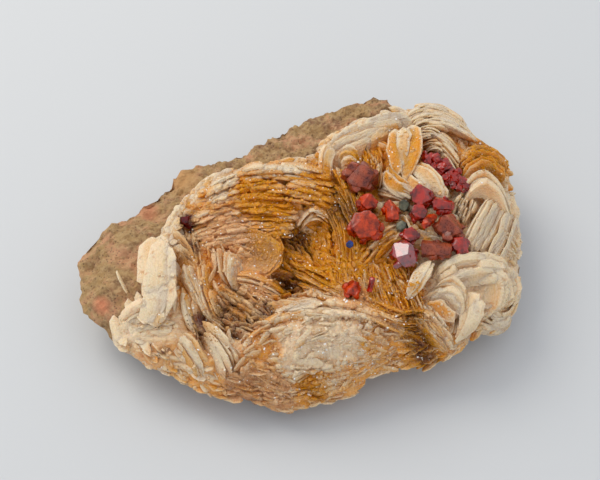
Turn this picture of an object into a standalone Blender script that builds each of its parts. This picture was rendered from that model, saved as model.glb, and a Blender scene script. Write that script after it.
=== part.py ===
"""A vanadinite cluster, a hand specimen: a gritty host rock, a crust of bladed barite whose sheaves
grew together on it, and hexagonal vanadinite crystals seated among the blades.

Metres, +Z up. The origin is on the flat face that the rock rests on, under the rock's middle.
Each place is read from a photograph as (across, down, height): two of its pixels and a height in
millimetres. sight() turns that into a point of the frame."""

import math
from collections import namedtuple

import bmesh
import bpy
import numpy as np
from mathutils import Matrix, Vector, noise

MM = 0.001

# The photograph's line of sight, from which the places are read.
PIXEL = 0.205 * MM
SIGHT_TILT = math.radians(55)
SIGHT_DISTANCE = 290 * MM
SIGHT_TARGET = Vector((0, 3, 12)) * MM
SIGHT_MIDDLE = (300, 240)

# The host rock.
ROCK_PLATEAU = 16.5 * MM
ROCK_SEGMENTS, ROCK_RINGS = 44, 12
ROCK_LUMP = 0.9 * MM
ROCK_LUMP_SIZE = 9 * MM
ROCK_SEED = 3
ROCK_SHOULDER = 5
ROCK_UNDERCUT = 1.7
ROCK_DISH = 6.5 * MM
ROCK_DISH_SHOULDER = 3
FOOT_REACH = 0.62
FOOT_DROP = 1.2 * MM

# The barite crust.
CRUST_PLATEAU = 17 * MM
CRUST_SINK = 2 * MM
CRUST_SEGMENTS, CRUST_RINGS = 36, 12
CRUST_LUMP = 0.35 * MM
CRUST_LUMP_SIZE = 5 * MM
CRUST_SEED = 8
CRUST_SHOULDER = 6
CRUST_UNDERCUT = 3
BLADE_CUTS = 2
BLADE_EDGE_SHARE = 0.45
BLADE_END_SHARE = 0.55
BLADE_FOOT_SHARE = 0.6
BLADE_STRAY = 0.8 * MM
WANDER_APART = 17.3

# The gap kept between pieces that touch.
GAP = 0.35 * MM

# The rock's widest line, seen from above: across, down, height, from the left tip and round by the back.
ROCK_EDGE = (
    (79, 262, 12), (90, 243, 13), (128, 219, 14), (161, 193, 15), (178, 174, 15), (211, 165, 15),
    (246, 155, 15), (270, 140, 15.5), (299, 127, 16), (334, 112, 16), (363, 101, 16), (388, 98, 16),
    (402, 108, 15), (440, 122, 13), (478, 148, 12), (500, 168, 11), (507, 195, 10), (514, 228, 9.5),
    (517, 262, 8.5), (516, 300, 7.5), (498, 325, 6.5), (470, 335, 5.5), (436, 344, 5), (396, 353, 4.5),
    (362, 362, 4.5), (345, 377, 4), (300, 388, 3.5), (258, 386, 3.5), (232, 382, 4), (190, 374, 4.5),
    (150, 358, 5.5), (112, 343, 7.5), (98, 326, 8.5), (82, 306, 9.5),
)
# The barite's outer line on and over the rock.
CRUST_EDGE = (
    (156, 300, 13), (150, 270, 15), (158, 238, 17), (180, 205, 17.5), (208, 178, 17.5), (262, 166, 17.5),
    (318, 160, 17.5), (326, 140, 17.5), (362, 121, 17.5), (402, 110, 17), (425, 105, 16.5),
    (444, 118, 15.5), (463, 124, 15), (481, 144, 14), (506, 157, 13), (511, 190, 12.5),
    (519, 228, 12), (517, 263, 11), (519, 300, 10), (500, 322, 9), (474, 332, 9), (459, 352, 8),
    (422, 364, 8), (397, 367, 8), (366, 379, 8), (357, 391, 6.5), (322, 403, 5), (278, 412, 4.5),
    (256, 402, 5), (243, 396, 6), (228, 399, 6), (196, 390, 6.5), (173, 376, 7.5), (138, 360, 9),
    (114, 344, 10), (112, 330, 12), (128, 312, 13),
)

# The crust's hills and hollows: middle, height over the plateau in millimetres, and reach along and
# across its long axis in millimetres, with that axis's turn from X in degrees.
Hill = namedtuple("Hill", "middle rise long short turn")
HILLS = (
    Hill((265, 190, 19), 4.0, 13, 4.5, 5),
    Hill((212, 215, 18), 1.5, 7, 5, 0),
    Hill((306, 244, 17), -2.6, 6, 7, 0),
    Hill((324, 205, 18), 2.2, 3, 3, 0),
    Hill((288, 283, 15), -4.5, 5, 3, -20),
    Hill((190, 226, 17), -3.5, 2.5, 1.8, 0),
    Hill((164, 272, 18), 1.0, 2.5, 10, 0),
    Hill((160, 322, 13), -2.0, 3, 2.5, 0),
    Hill((215, 330, 14), -2.5, 7, 8, 0),
    Hill((325, 330, 18), 1.5, 14, 6, 0),
    Hill((325, 385, 8), -1.0, 10, 4, 0),
    Hill((415, 222, 19), 0.8, 9, 8, 0),
    Hill((345, 245, 19), 1.2, 4, 10, 15),
    Hill((395, 150, 20), 3.2, 9, 8, 0),
    Hill((350, 132, 19), 2.0, 8, 4, 20),
    Hill((462, 150, 19), 2.0, 10, 7, -30),
    Hill((448, 172, 18), -2.5, 2, 6, 40),
    Hill((485, 240, 17), 0.5, 8, 12, 0),
    Hill((465, 285, 17), 1.5, 10, 6, 0),
    Hill((410, 325, 14), -1.5, 8, 5, 0),
)

# A sheaf of blades side by side: the crest of the first and of the last, each by its start, middle and
# end; how many; their thickness and depth in millimetres; and the way from a crest into the crust.
Sheaf = namedtuple("Sheaf", "name first last count thick depth into")
SHEAVES = (
    Sheaf("amber_book", ((203, 190, 20), (258, 166, 23), (326, 176, 22)),
          ((196, 214, 19), (262, 196, 21.5), (340, 214, 20)), 3, 1.2, 8, (0, 0.8, -0.6)),
    Sheaf("tan_pages", ((184, 219, 19), (240, 204, 20.5), (300, 212, 20)),
          ((200, 250, 16.5), (245, 240, 18), (292, 238, 18)), 3, 1.2, 7, (0, 0.8, -0.6)),
    Sheaf("pink_spokes", ((180, 226, 18.5), (194, 240, 18.5), (208, 254, 17)),
          ((176, 236, 18), (186, 250, 17.5), (196, 268, 16.5)), 1, 1, 5, (-0.4, 0.3, -0.85)),
    Sheaf("tan_plate", ((275, 232, 19), (287, 252, 18), (264, 280, 16.5)),
          ((268, 232, 18.5), (278, 252, 17.5), (256, 276, 16)), 1, 1.5, 7, (-0.9, 0.3, -0.3)),
    Sheaf("columns", ((216, 238, 18), (214, 262, 17), (222, 292, 15.5)),
          ((233, 240, 18), (230, 255, 17.5), (228, 272, 16.5)), 1, 1.5, 5, (0.3, 0.5, -0.8)),
    Sheaf("pink_pages", ((232, 270, 17), (262, 274, 17.5), (290, 292, 16)),
          ((236, 288, 15.5), (255, 294, 15.5), (268, 302, 15)), 2, 1.2, 5, (-0.1, 0.7, -0.7)),
    Sheaf("grey_ridge", ((218, 282, 16.5), (236, 292, 16.5), (262, 312, 15.5)),
          ((222, 298, 15), (240, 312, 15), (268, 324, 14.5)), 1, 2, 5, (0.2, 0.5, -0.85)),
    Sheaf("tan_slats", ((186, 262, 17), (186, 300, 16), (198, 340, 13.5)),
          ((206, 262, 16.5), (208, 300, 15.5), (218, 330, 14)), 2, 1.4, 6, (0.1, 0.6, -0.8)),
    Sheaf("white_slats", ((208, 315, 15), (225, 330, 15), (243, 354, 13)),
          ((204, 345, 13), (216, 358, 12.5), (230, 388, 9)), 2, 1.2, 6, (-0.2, 0.6, -0.75)),
    Sheaf("wing", ((163, 226, 20), (162, 275, 19.5), (166, 322, 15)),
          ((172, 232, 19.5), (175, 275, 18.5), (172, 318, 15)), 1, 3.2, 8, (-0.3, 0, -0.95)),
    Sheaf("wing_foot", ((118, 318, 14.5), (140, 306, 16.5), (162, 322, 14.5)),
          ((128, 345, 9), (150, 338, 12), (172, 345, 11)), 1, 2.5, 6, (0, 0.6, -0.8)),
    Sheaf("left_wall", ((140, 352, 9), (180, 352, 12), (215, 365, 11)),
          ((165, 368, 6), (190, 380, 7), (226, 390, 7)), 1, 2.5, 6, (0, 0.8, -0.6)),
    Sheaf("bowl_rim", ((298, 224, 19), (312, 212, 20), (328, 222, 19.5)),
          ((300, 230, 18), (314, 220, 19), (330, 230, 18.5)), 1, 1.2, 5, (0, 0.8, -0.6)),
    Sheaf("honey_shells", ((318, 198, 20), (334, 235, 19), (332, 290, 17)),
          ((334, 182, 20.5), (356, 232, 19.5), (352, 296, 17)), 3, 1, 6, (0.55, 0.2, -0.8)),
    Sheaf("honey_shelf", ((292, 262, 17), (318, 268, 17), (345, 262, 17.5)),
          ((300, 290, 16), (325, 296, 16.5), (350, 292, 17)), 2, 1.2, 5, (0, 0.6, -0.8)),
    Sheaf("long_blades", ((302, 266, 18), (350, 290, 18), (402, 312, 17.5)),
          ((296, 282, 16.5), (345, 308, 17), (392, 330, 16.5)), 2, 1.1, 6, (0.3, 0.5, -0.8)),
    Sheaf("mound", ((262, 318, 18), (320, 300, 19.5), (392, 318, 18.5)),
          ((256, 348, 13), (322, 356, 13), (395, 350, 13)), 2, 3, 7, (0, 0.85, -0.5)),
    Sheaf("low_ledge", ((246, 368, 10), (300, 372, 11), (362, 368, 10)),
          ((256, 396, 6), (290, 400, 6), (346, 388, 6.5)), 1, 2.5, 6, (0, 0.9, -0.4)),
    Sheaf("green_ridge", ((352, 264, 18), (372, 240, 20), (402, 222, 20.5)),
          ((360, 270, 18), (382, 246, 20), (408, 228, 20)), 1, 2, 5, (0.2, 0.5, -0.85)),
    Sheaf("honey_fan", ((362, 262, 18.5), (362, 285, 18), (372, 312, 16.5)),
          ((398, 262, 19), (412, 285, 18.5), (424, 312, 17)), 3, 1.2, 6, (0.1, 0.5, -0.85)),
    Sheaf("olive_corner", ((392, 318, 16.5), (415, 312, 17), (432, 318, 16)),
          ((400, 345, 11), (422, 350, 11), (445, 345, 11)), 2, 1.4, 5, (0, 0.8, -0.6)),
    Sheaf("upright", ((436, 258, 20.5), (427, 268, 21.5), (420, 292, 19)),
          ((439, 260, 20), (431, 270, 21), (424, 292, 18.5)), 1, 1.8, 5, (0.3, 0.6, -0.75)),
    Sheaf("saddle", ((430, 268, 19.5), (465, 255, 20.5), (505, 262, 17.5)),
          ((436, 284, 18.5), (468, 272, 19), (500, 276, 17)), 1, 1.9, 7, (0, 0.7, -0.7)),
    Sheaf("low_petals", ((440, 290, 18.5), (458, 278, 19.5), (480, 286, 18.5)),
          ((438, 302, 17), (455, 312, 16.5), (470, 318, 15.5)), 2, 1.6, 6, (0.2, 0.8, -0.5)),
    Sheaf("tongue", ((474, 296, 18), (470, 315, 16.5), (458, 333, 13.5)),
          ((480, 300, 17.5), (479, 318, 15.5), (468, 336, 12.5)), 1, 1.5, 4, (-0.8, 0.3, -0.5)),
    Sheaf("big_petals", ((478, 270, 18.5), (502, 290, 16), (490, 314, 12.5)),
          ((500, 264, 16.5), (519, 282, 13.5), (511, 306, 11)), 2, 1.8, 7, (-0.8, 0.4, -0.45)),
    Sheaf("lower_slats", ((428, 300, 17), (442, 318, 16), (456, 342, 12)),
          ((414, 316, 16), (430, 335, 14), (448, 352, 10.5)), 2, 1.5, 6, (-0.5, 0.5, -0.7)),
    Sheaf("right_fan", ((460, 222, 19.5), (480, 200, 20.5), (506, 190, 18.5)),
          ((462, 248, 19), (492, 246, 19), (517, 240, 15.5)), 3, 1.2, 6, (0.1, 0.1, -1)),
    Sheaf("jagged_tips", ((452, 214, 19.5), (456, 205, 20.5), (462, 196, 21)),
          ((466, 222, 19.5), (472, 210, 20.5), (474, 200, 20.5)), 1, 1.1, 5, (0.1, 0.3, -0.9)),
    Sheaf("white_arch", ((460, 186, 21), (486, 170, 22.5), (512, 202, 18)),
          ((466, 194, 20.5), (488, 184, 21), (512, 208, 17.5)), 1, 1.8, 6, (0, 0.6, -0.8)),
    Sheaf("orange_face", ((452, 150, 20), (482, 146, 20), (506, 168, 17)),
          ((462, 172, 20.5), (486, 160, 21), (508, 180, 18)), 2, 1.6, 6, (-0.1, 0.7, -0.7)),
    Sheaf("right_edge", ((498, 232, 18), (512, 236, 16), (518, 252, 13)),
          ((494, 255, 17.5), (508, 255, 15.5), (517, 265, 12.5)), 1, 1.5, 5, (-0.6, 0.4, -0.7)),
    Sheaf("back_rim", ((404, 113, 18), (432, 106, 18.5), (468, 128, 17)),
          ((410, 128, 20.5), (440, 124, 21), (480, 146, 19.5)), 2, 2, 6, (0, 0.5, -0.85)),
    Sheaf("back_fan", ((424, 128, 21), (440, 132, 21.5), (458, 150, 20.5)),
          ((428, 150, 20.5), (442, 150, 21), (460, 176, 20)), 2, 1.5, 6, (-0.2, 0.6, -0.75)),
    Sheaf("tall_slats", ((384, 128, 22), (382, 155, 22.5), (386, 184, 20)),
          ((414, 122, 22), (425, 150, 22.5), (415, 187, 20.5)), 2, 1.6, 6, (0.1, 0.5, -0.85)),
    Sheaf("leaves", ((424, 158, 21.5), (446, 175, 21.5), (455, 200, 19.5)),
          ((404, 168, 21), (424, 182, 21), (436, 198, 19.5)), 2, 1.5, 6, (-0.5, 0.4, -0.75)),
    Sheaf("low_leaves", ((384, 184, 20.5), (402, 186, 21.5), (420, 200, 20)),
          ((380, 194, 19.5), (396, 198, 20), (410, 206, 19)), 1, 1.5, 5, (0.1, 0.7, -0.7)),
    Sheaf("arch_ridge", ((324, 142, 20), (362, 120, 22), (412, 116, 21.5)),
          ((330, 152, 19.5), (362, 138, 21.5), (388, 140, 21)), 2, 2.2, 7, (0, 0.7, -0.7)),
    Sheaf("white_sliver", ((323, 142, 21), (318, 157, 21), (320, 176, 19.5)),
          ((323, 142, 21), (318, 157, 21), (320, 176, 19.5)), 1, 1.6, 5, (0.2, 0.4, -0.9)),
    Sheaf("brown_streaks", ((350, 150, 19.5), (352, 160, 20), (350, 174, 19)),
          ((378, 148, 20), (383, 165, 20.5), (380, 187, 19.5)), 2, 1.2, 5, (0.1, 0.4, -0.9)),
    Sheaf("honey_slats", ((330, 166, 20.5), (342, 190, 20.5), (352, 225, 19.5)),
          ((348, 172, 20), (360, 200, 20), (366, 214, 19.3)), 2, 1.1, 5, (0.3, 0.3, -0.9)),
)

# The vanadinite crystals: middle, width over the prism's flats and length in millimetres, the way the
# prism's axis points, and its turn about that axis in degrees.
Crystal = namedtuple("Crystal", "name middle width length axis turn")
CRYSTALS = (
    Crystal("vanadinite_great", (360, 176, 21.6), 5.4, 3.4, (-0.35, -0.35, 0.87), 10),
    Crystal("vanadinite_bright", (367, 202, 20.9), 3.0, 2.6, (0.2, -0.4, 0.9), 25),
    Crystal("vanadinite_tall", (391, 211, 21.4), 2.7, 3.9, (-0.1, 0.9, 0.4), 0),
    Crystal("vanadinite_plate", (366, 226, 21.4), 5.2, 3.2, (-0.25, -0.25, 0.93), 20),
    Crystal("vanadinite_back_pair", (422, 196, 21.6), 3.7, 3.4, (-0.4, -0.2, 0.9), 0),
    Crystal("vanadinite_back_rod", (443, 204, 21.2), 3.0, 3.4, (0.85, -0.2, 0.45), 15),
    Crystal("vanadinite_stick", (429, 221, 22.0), 1.7, 4.4, (-0.4, -0.75, 0.5), 0),
    Crystal("vanadinite_shaded", (418, 214, 20.4), 3.0, 2.4, (0.1, -0.2, 0.97), 10),
    Crystal("vanadinite_right", (450, 226, 21.3), 4.6, 3.4, (0.3, -0.3, 0.9), 5),
    Crystal("vanadinite_small", (409, 236, 20.9), 2.8, 2.4, (0.1, -0.3, 0.95), 30),
    Crystal("vanadinite_mirror", (405, 254, 21.1), 4.1, 4.0, (0.45, -0.75, 0.5), 20),
    Crystal("vanadinite_log", (436, 249, 21.0), 3.2, 5.6, (0.96, -0.1, 0.1), 0),
    Crystal("vanadinite_end", (460, 245, 20.5), 3.1, 2.8, (0.4, -0.6, 0.7), 15),
    Crystal("vanadinite_low", (352, 288, 18.9), 2.9, 2.2, (0.1, -0.5, 0.85), 0),
    Crystal("vanadinite_splinter", (371, 285, 19.2), 1.1, 2.6, (0.2, 0.6, 0.75), 0),
    Crystal("vanadinite_in_hole", (187, 222, 17.0), 2.4, 2.6, (0.7, -0.3, 0.6), 0),
    Crystal("coated_upper", (404, 206, 20.4), 2.2, 2.2, (-0.1, -0.4, 0.9), 12),
    Crystal("coated_lower", (402, 227, 20.4), 2.0, 2.2, (-0.3, -0.3, 0.9), 40),
    Crystal("blue_grain", (350, 244.5, 20.4), 1.3, 1.1, (0, -0.5, 0.85), 0),
)
# Small vanadinites that line the crevice at the back, grown together: they climb from start to end.
CREVICE_START, CREVICE_END = (427, 157, 20.2), (462, 188, 19.4)
CREVICE_COUNT, CREVICE_WIDTH, CREVICE_LENGTH = 7, 2.4, 2.6
CREVICE_STRAY = 0.6 * MM
CREVICE_LEAN = 0.4
CREVICE_WIDTH_SPREAD = 0.3
CREVICE_TURN = 40
CRYSTAL_SIDES = 6
CRYSTAL_BEVEL_SHARE = 0.16

RED = (0.42, 0.035, 0.02, 1)
MAUVE = (0.30, 0.10, 0.07, 1)
ORANGE_RED = (0.62, 0.08, 0.02, 1)
COLOURS = {
    "host_rock": (0.40, 0.27, 0.17, 1),
    "barite_crust": (0.72, 0.50, 0.27, 1),
    "vanadinite_great": MAUVE,
    "vanadinite_log": MAUVE,
    "vanadinite_bright": ORANGE_RED,
    "vanadinite_tall": ORANGE_RED,
    "vanadinite_low": ORANGE_RED,
    "coated_upper": (0.10, 0.08, 0.05, 1),
    "coated_lower": (0.10, 0.08, 0.05, 1),
    "blue_grain": (0.01, 0.03, 0.12, 1),
}


def sight(place):
    """The frame's point at this height that is seen at this place of the photograph."""
    across, down, height = place
    forward = Vector((0, math.cos(SIGHT_TILT), -math.sin(SIGHT_TILT)))
    up = Vector((0, math.sin(SIGHT_TILT), math.cos(SIGHT_TILT)))
    eye = SIGHT_TARGET - forward * SIGHT_DISTANCE
    ray = forward * SIGHT_DISTANCE
    ray += Vector((1, 0, 0)) * (across - SIGHT_MIDDLE[0]) * PIXEL
    ray += up * (SIGHT_MIDDLE[1] - down) * PIXEL
    return eye + ray * ((height * MM - eye.z) / ray.z)


def clear_scene():
    for obj in list(bpy.data.objects):
        bpy.data.objects.remove(obj)


def new_collection(name, in_render=True):
    collection = bpy.data.collections.new(name)
    bpy.context.scene.collection.children.link(collection)
    collection.hide_render = not in_render
    return collection


def new_object(name, bm, collection):
    """The faces become triangles, because a Boolean needs each of them flat."""
    bmesh.ops.triangulate(bm, faces=bm.faces)
    bmesh.ops.recalc_face_normals(bm, faces=bm.faces)
    mesh = bpy.data.meshes.new(name)
    bm.to_mesh(mesh)
    bm.free()
    obj = bpy.data.objects.new(name, mesh)
    collection.objects.link(obj)
    if collection.hide_render:
        obj.hide_render = True
        obj.display_type = "WIRE"
    return obj


def polar(edge):
    """A closed outline as three arrays: the angle about the middle, the reach and the height there."""
    points = [sight(place) for place in edge]
    middle = sum(points, Vector()) / len(points)
    rows = sorted(
        (math.atan2(p.y - middle.y, p.x - middle.x), math.hypot(p.y - middle.y, p.x - middle.x), p.z)
        for p in points
    )
    angles, reaches, heights = (np.array(column) for column in zip(*rows))
    return middle, angles, reaches, heights


def around(angle, angles, values):
    """A value of a closed outline at this angle."""
    return float(np.interp(angle, angles, values, period=2 * math.pi))


CRUST_POLAR = polar(CRUST_EDGE)


def crust_height(x, y):
    """The height of the crust's top, without its blades."""
    height = CRUST_PLATEAU
    for hill in HILLS:
        middle = sight(hill.middle)
        away = Matrix.Rotation(-math.radians(hill.turn), 2) @ Vector((x - middle.x, y - middle.y))
        share = (away.x / (hill.long * MM)) ** 2 + (away.y / (hill.short * MM)) ** 2
        height += hill.rise * MM * math.exp(-share)
    return height


def lumpy(point, size, seed):
    return noise.fractal(point / size + Vector((seed, seed, seed)), 1.0, 2.0, 3)


def wander(x, y, z):
    """A direction and length that differ from place to place, none of its parts over 1."""
    return Vector([noise.noise(Vector((x, y, z + WANDER_APART * part))) for part in range(3)])


def lofted_lump(edge, segments, rings, top, bottom):
    """A sphere's vertices laid out on an outline: its upper half is lifted to top, its lower to bottom."""
    middle, angles, reaches, heights = polar(edge)
    bm = bmesh.new()
    bmesh.ops.create_uvsphere(bm, u_segments=segments, v_segments=rings, radius=1)
    for vertex in bm.verts:
        angle = math.atan2(vertex.co.y, vertex.co.x)
        share = min(1.0, math.hypot(vertex.co.x, vertex.co.y))
        share = 2 / math.pi * math.asin(share)
        reach = around(angle, angles, reaches) * share
        rim = around(angle, angles, heights)
        x = middle.x + reach * math.cos(angle)
        y = middle.y + reach * math.sin(angle)
        surface = top if vertex.co.z >= 0 else bottom
        vertex.co = Vector((x, y, surface(x, y, rim, share)))
    return bm


def crust_share(x, y):
    """How far out a place lies on the crust: 0 at its middle and 1 at its outer line."""
    middle, angles, reaches, _ = CRUST_POLAR
    away = math.hypot(x - middle.x, y - middle.y)
    return away / around(math.atan2(y - middle.y, x - middle.x), angles, reaches)


def rock_top(x, y, rim, share):
    """Level, with a dish that the crust fills."""
    dish = ROCK_DISH * max(0.0, 1 - crust_share(x, y) ** ROCK_DISH_SHOULDER)
    return rim + (ROCK_PLATEAU - dish - rim) * (1 - share**ROCK_SHOULDER)


def rock_bottom(x, y, rim, share):
    """Under the plane that the rock rests on, and from there up to its edge."""
    if share < FOOT_REACH:
        return -FOOT_DROP
    climb = (share - FOOT_REACH) / (1 - FOOT_REACH)
    return -FOOT_DROP + (rim + FOOT_DROP) * climb**ROCK_UNDERCUT


def host_rock(collection, grown_by=0.0):
    """The rock, lumpy all over and cut off flat where it rests. grown_by makes a fatter copy, to cut with."""
    bm = lofted_lump(ROCK_EDGE, ROCK_SEGMENTS, ROCK_RINGS, rock_top, rock_bottom)
    bm.normal_update()
    shifts = []
    for vertex in bm.verts:
        lump = ROCK_LUMP * lumpy(vertex.co, ROCK_LUMP_SIZE, ROCK_SEED)
        shifts.append(vertex.normal * (lump + grown_by * vertex.calc_shell_factor()))
    for vertex, shift in zip(bm.verts, shifts):
        vertex.co += shift
    everything = bm.verts[:] + bm.edges[:] + bm.faces[:]
    cut = bmesh.ops.bisect_plane(bm, geom=everything, plane_co=(0, 0, 0), plane_no=(0, 0, -1), clear_outer=True)
    rim = [edge for edge in cut["geom_cut"] if isinstance(edge, bmesh.types.BMEdge)]
    bmesh.ops.contextual_create(bm, geom=rim)
    return new_object("host_rock" if grown_by == 0 else "rock_allowance", bm, collection)


def crust_body(collection):
    """The massive barite that the blades grow out of."""

    def top(x, y, rim, share):
        return rim + (crust_height(x, y) - rim) * (1 - share**CRUST_SHOULDER)

    def bottom(x, y, rim, share):
        under = ROCK_PLATEAU - ROCK_DISH - CRUST_SINK
        return under + (rim - under) * share**CRUST_UNDERCUT

    bm = lofted_lump(CRUST_EDGE, CRUST_SEGMENTS, CRUST_RINGS, top, bottom)
    for vertex in bm.verts:
        vertex.co.z += CRUST_LUMP * lumpy(vertex.co, CRUST_LUMP_SIZE, CRUST_SEED)
    return new_object("barite_crust", bm, collection)


def blade(name, crest, thick, depth, into, collection):
    """One tabular crystal: a box cut across, whose upper edge follows the crest and thins to it."""
    start, middle, end = crest
    bow = middle - (start + end) / 2
    side = (end - start).cross(into).normalized()
    bm = bmesh.new()
    bmesh.ops.create_cube(bm, size=1)
    lengthwise = [edge for edge in bm.edges if abs(edge.verts[0].co.x - edge.verts[1].co.x) > 0.5]
    bmesh.ops.subdivide_edges(bm, edges=lengthwise, cuts=BLADE_CUTS, use_grid_fill=True)
    for vertex in bm.verts:
        along = vertex.co.x + 0.5
        hump = 4 * along * (1 - along)
        is_crest = vertex.co.z > 0
        width = thick * (BLADE_EDGE_SHARE if is_crest else 1) * (BLADE_END_SHARE + (1 - BLADE_END_SHARE) * hump)
        line = start.lerp(end, along) + bow * hump
        sunk = 0 if is_crest else depth * (BLADE_FOOT_SHARE + (1 - BLADE_FOOT_SHARE) * hump)
        vertex.co = line + into * sunk + side * (vertex.co.y * width)
    return new_object(name, bm, collection)


def sheaf_blades(sheaf, collection):
    """The sheaf's blades, each a little off the one before it."""
    into = Vector(sheaf.into).normalized()
    first = [sight(place) for place in sheaf.first]
    last = [sight(place) for place in sheaf.last]
    for index in range(sheaf.count):
        share = index / max(1, sheaf.count - 1)
        stray = wander(index * 0.37, sheaf.first[0][0] * 0.11, sheaf.depth) * BLADE_STRAY
        crest = [a.lerp(b, share) + stray for a, b in zip(first, last)]
        blade(f"{sheaf.name}_{index}", crest, sheaf.thick * MM, sheaf.depth * MM, into, collection)


def prism(name, middle, width, length, axis, turn, collection, grown_by=0.0):
    """A hexagonal prism with bevelled ends, standing along its axis."""
    radius = (width * MM / 2 + grown_by) / math.cos(math.pi / CRYSTAL_SIDES)
    height = length * MM + 2 * grown_by
    bm = bmesh.new()
    bmesh.ops.create_cone(bm, cap_ends=True, segments=CRYSTAL_SIDES, radius1=radius, radius2=radius, depth=height)
    if grown_by == 0:
        ends = [edge for edge in bm.edges if abs(edge.verts[0].co.z - edge.verts[1].co.z) < height / 2]
        offset = radius * CRYSTAL_BEVEL_SHARE
        bmesh.ops.bevel(bm, geom=ends, offset=offset, segments=1, profile=0.5, affect="EDGES", material=-1)
    lean = Vector(axis).normalized().to_track_quat("Z", "Y").to_matrix().to_4x4()
    place = Matrix.Translation(middle) @ lean @ Matrix.Rotation(math.radians(turn), 4, "Z")
    bmesh.ops.transform(bm, matrix=place, verts=bm.verts)
    return new_object(name, bm, collection)


def crevice_prisms(collection, grown_by=0.0):
    """The crevice's small crystals, as overlapping prisms that a union makes one."""
    start, end = sight(CREVICE_START), sight(CREVICE_END)
    made = []
    for index in range(CREVICE_COUNT):
        share = index / (CREVICE_COUNT - 1)
        stray = wander(index * 0.71, 5.3, 2.4)
        middle = start.lerp(end, share) + stray * CREVICE_STRAY
        axis = (stray.x, stray.y - CREVICE_LEAN, 1)
        name = f"crevice_{index}" if grown_by == 0 else f"crevice_allowance_{index}"
        width = CREVICE_WIDTH * (1 + CREVICE_WIDTH_SPREAD * stray.z)
        made.append(prism(name, middle, width, CREVICE_LENGTH, axis, CREVICE_TURN * index, collection, grown_by))
    return made


def boolean(obj, operation, collection):
    """A Boolean of obj with all of a collection's objects, applied. The solver is Manifold because
    Exact leaves edges with four faces here, and other corners on each run."""
    modifier = obj.modifiers.new(operation.lower(), "BOOLEAN")
    modifier.operation = operation
    modifier.solver = "MANIFOLD"
    modifier.operand_type = "COLLECTION"
    modifier.collection = collection
    graph = bpy.context.evaluated_depsgraph_get()
    mesh = bpy.data.meshes.new_from_object(obj.evaluated_get(graph))
    obj.modifiers.clear()
    obj.data = mesh


def keep_largest(obj):
    """Deletes the crumbs that a cut left, and keeps the piece with the most faces."""
    bm = bmesh.new()
    bm.from_mesh(obj.data)
    left = set(bm.verts)
    islands = []
    while left:
        island, edge = set(), [left.pop()]
        while edge:
            vertex = edge.pop()
            island.add(vertex)
            for link in vertex.link_edges:
                other = link.other_vert(vertex)
                if other in left:
                    left.discard(other)
                    edge.append(other)
        islands.append(island)
    islands.sort(key=len, reverse=True)
    crumbs = [vertex for island in islands[1:] for vertex in island]
    bmesh.ops.delete(bm, geom=crumbs, context="VERTS")
    bm.to_mesh(obj.data)
    bm.free()


def paint(obj):
    material = bpy.data.materials.new(obj.name)
    material.use_nodes = True
    shader = material.node_tree.nodes["Principled BSDF"]
    shader.inputs["Base Color"].default_value = COLOURS.get(obj.name, RED)
    shader.inputs["Roughness"].default_value = 0.9 if obj.name == "host_rock" else 0.4
    shader.inputs["Metallic"].default_value = 0
    obj.data.materials.clear()
    obj.data.materials.append(material)


def build():
    clear_scene()
    parts = new_collection("vanadinite_cluster")
    blades = new_collection("blades", in_render=False)
    pockets = new_collection("pockets", in_render=False)
    seeds = new_collection("seeds", in_render=False)

    host_rock(parts)
    host_rock(pockets, GAP)
    crust = crust_body(parts)
    for sheaf in SHEAVES:
        sheaf_blades(sheaf, blades)
    for crystal in CRYSTALS:
        middle = sight(crystal.middle)
        prism(crystal.name, middle, *crystal[2:], parts)
        prism(crystal.name + "_allowance", middle, *crystal[2:], pockets, GAP)
    crevice = crevice_prisms(seeds)[0]
    crevice_prisms(pockets, GAP)

    boolean(crust, "UNION", blades)
    boolean(crust, "DIFFERENCE", pockets)
    keep_largest(crust)

    crevice.name = "vanadinite_crevice"
    seeds.objects.unlink(crevice)
    parts.objects.link(crevice)
    crevice.hide_render = False
    crevice.display_type = "TEXTURED"
    boolean(crevice, "UNION", seeds)

    for obj in parts.objects:
        paint(obj)


build()
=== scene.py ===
"""A vanadinite cluster: hexagonal vanadinite crystals on bladed barite that covers a gritty host rock.

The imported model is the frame. A place is written as (across, down, height): its pixel in a picture of
600 by 480, and its height in millimetres over the face that the rock rests on."""

import math
from collections import namedtuple

import bmesh
import bpy
import numpy as np
from mathutils import Matrix, Vector, noise
from mathutils.bvhtree import BVHTree


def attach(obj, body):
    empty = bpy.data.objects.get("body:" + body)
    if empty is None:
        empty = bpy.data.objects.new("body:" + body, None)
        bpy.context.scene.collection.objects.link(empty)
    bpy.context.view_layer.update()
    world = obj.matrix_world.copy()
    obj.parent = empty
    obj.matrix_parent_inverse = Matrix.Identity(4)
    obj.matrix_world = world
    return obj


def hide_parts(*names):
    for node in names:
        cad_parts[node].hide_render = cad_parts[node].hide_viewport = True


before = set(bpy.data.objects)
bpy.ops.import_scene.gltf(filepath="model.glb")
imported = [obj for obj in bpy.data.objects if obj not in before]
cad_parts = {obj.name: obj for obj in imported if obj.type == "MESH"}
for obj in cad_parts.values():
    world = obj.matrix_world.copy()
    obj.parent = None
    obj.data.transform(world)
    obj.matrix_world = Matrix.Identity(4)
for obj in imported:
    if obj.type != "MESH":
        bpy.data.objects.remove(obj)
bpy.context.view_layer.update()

MM = 0.001

# Camera. It looks down at 55 degrees from in front, from 29 cm away, with an 85 mm lens.
# Each place of the picture is found along its line of sight.
SIGHT_TILT = math.radians(55)
SIGHT_DISTANCE = 290 * MM
SIGHT_TARGET = Vector((0, 3, 12)) * MM
SIGHT_MIDDLE = (300, 240)
PIXEL = 0.205 * MM
FORWARD = Vector((0, math.cos(SIGHT_TILT), -math.sin(SIGHT_TILT)))
UPWARD = Vector((0, math.sin(SIGHT_TILT), math.cos(SIGHT_TILT)))
EYE = SIGHT_TARGET - FORWARD * SIGHT_DISTANCE


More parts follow.
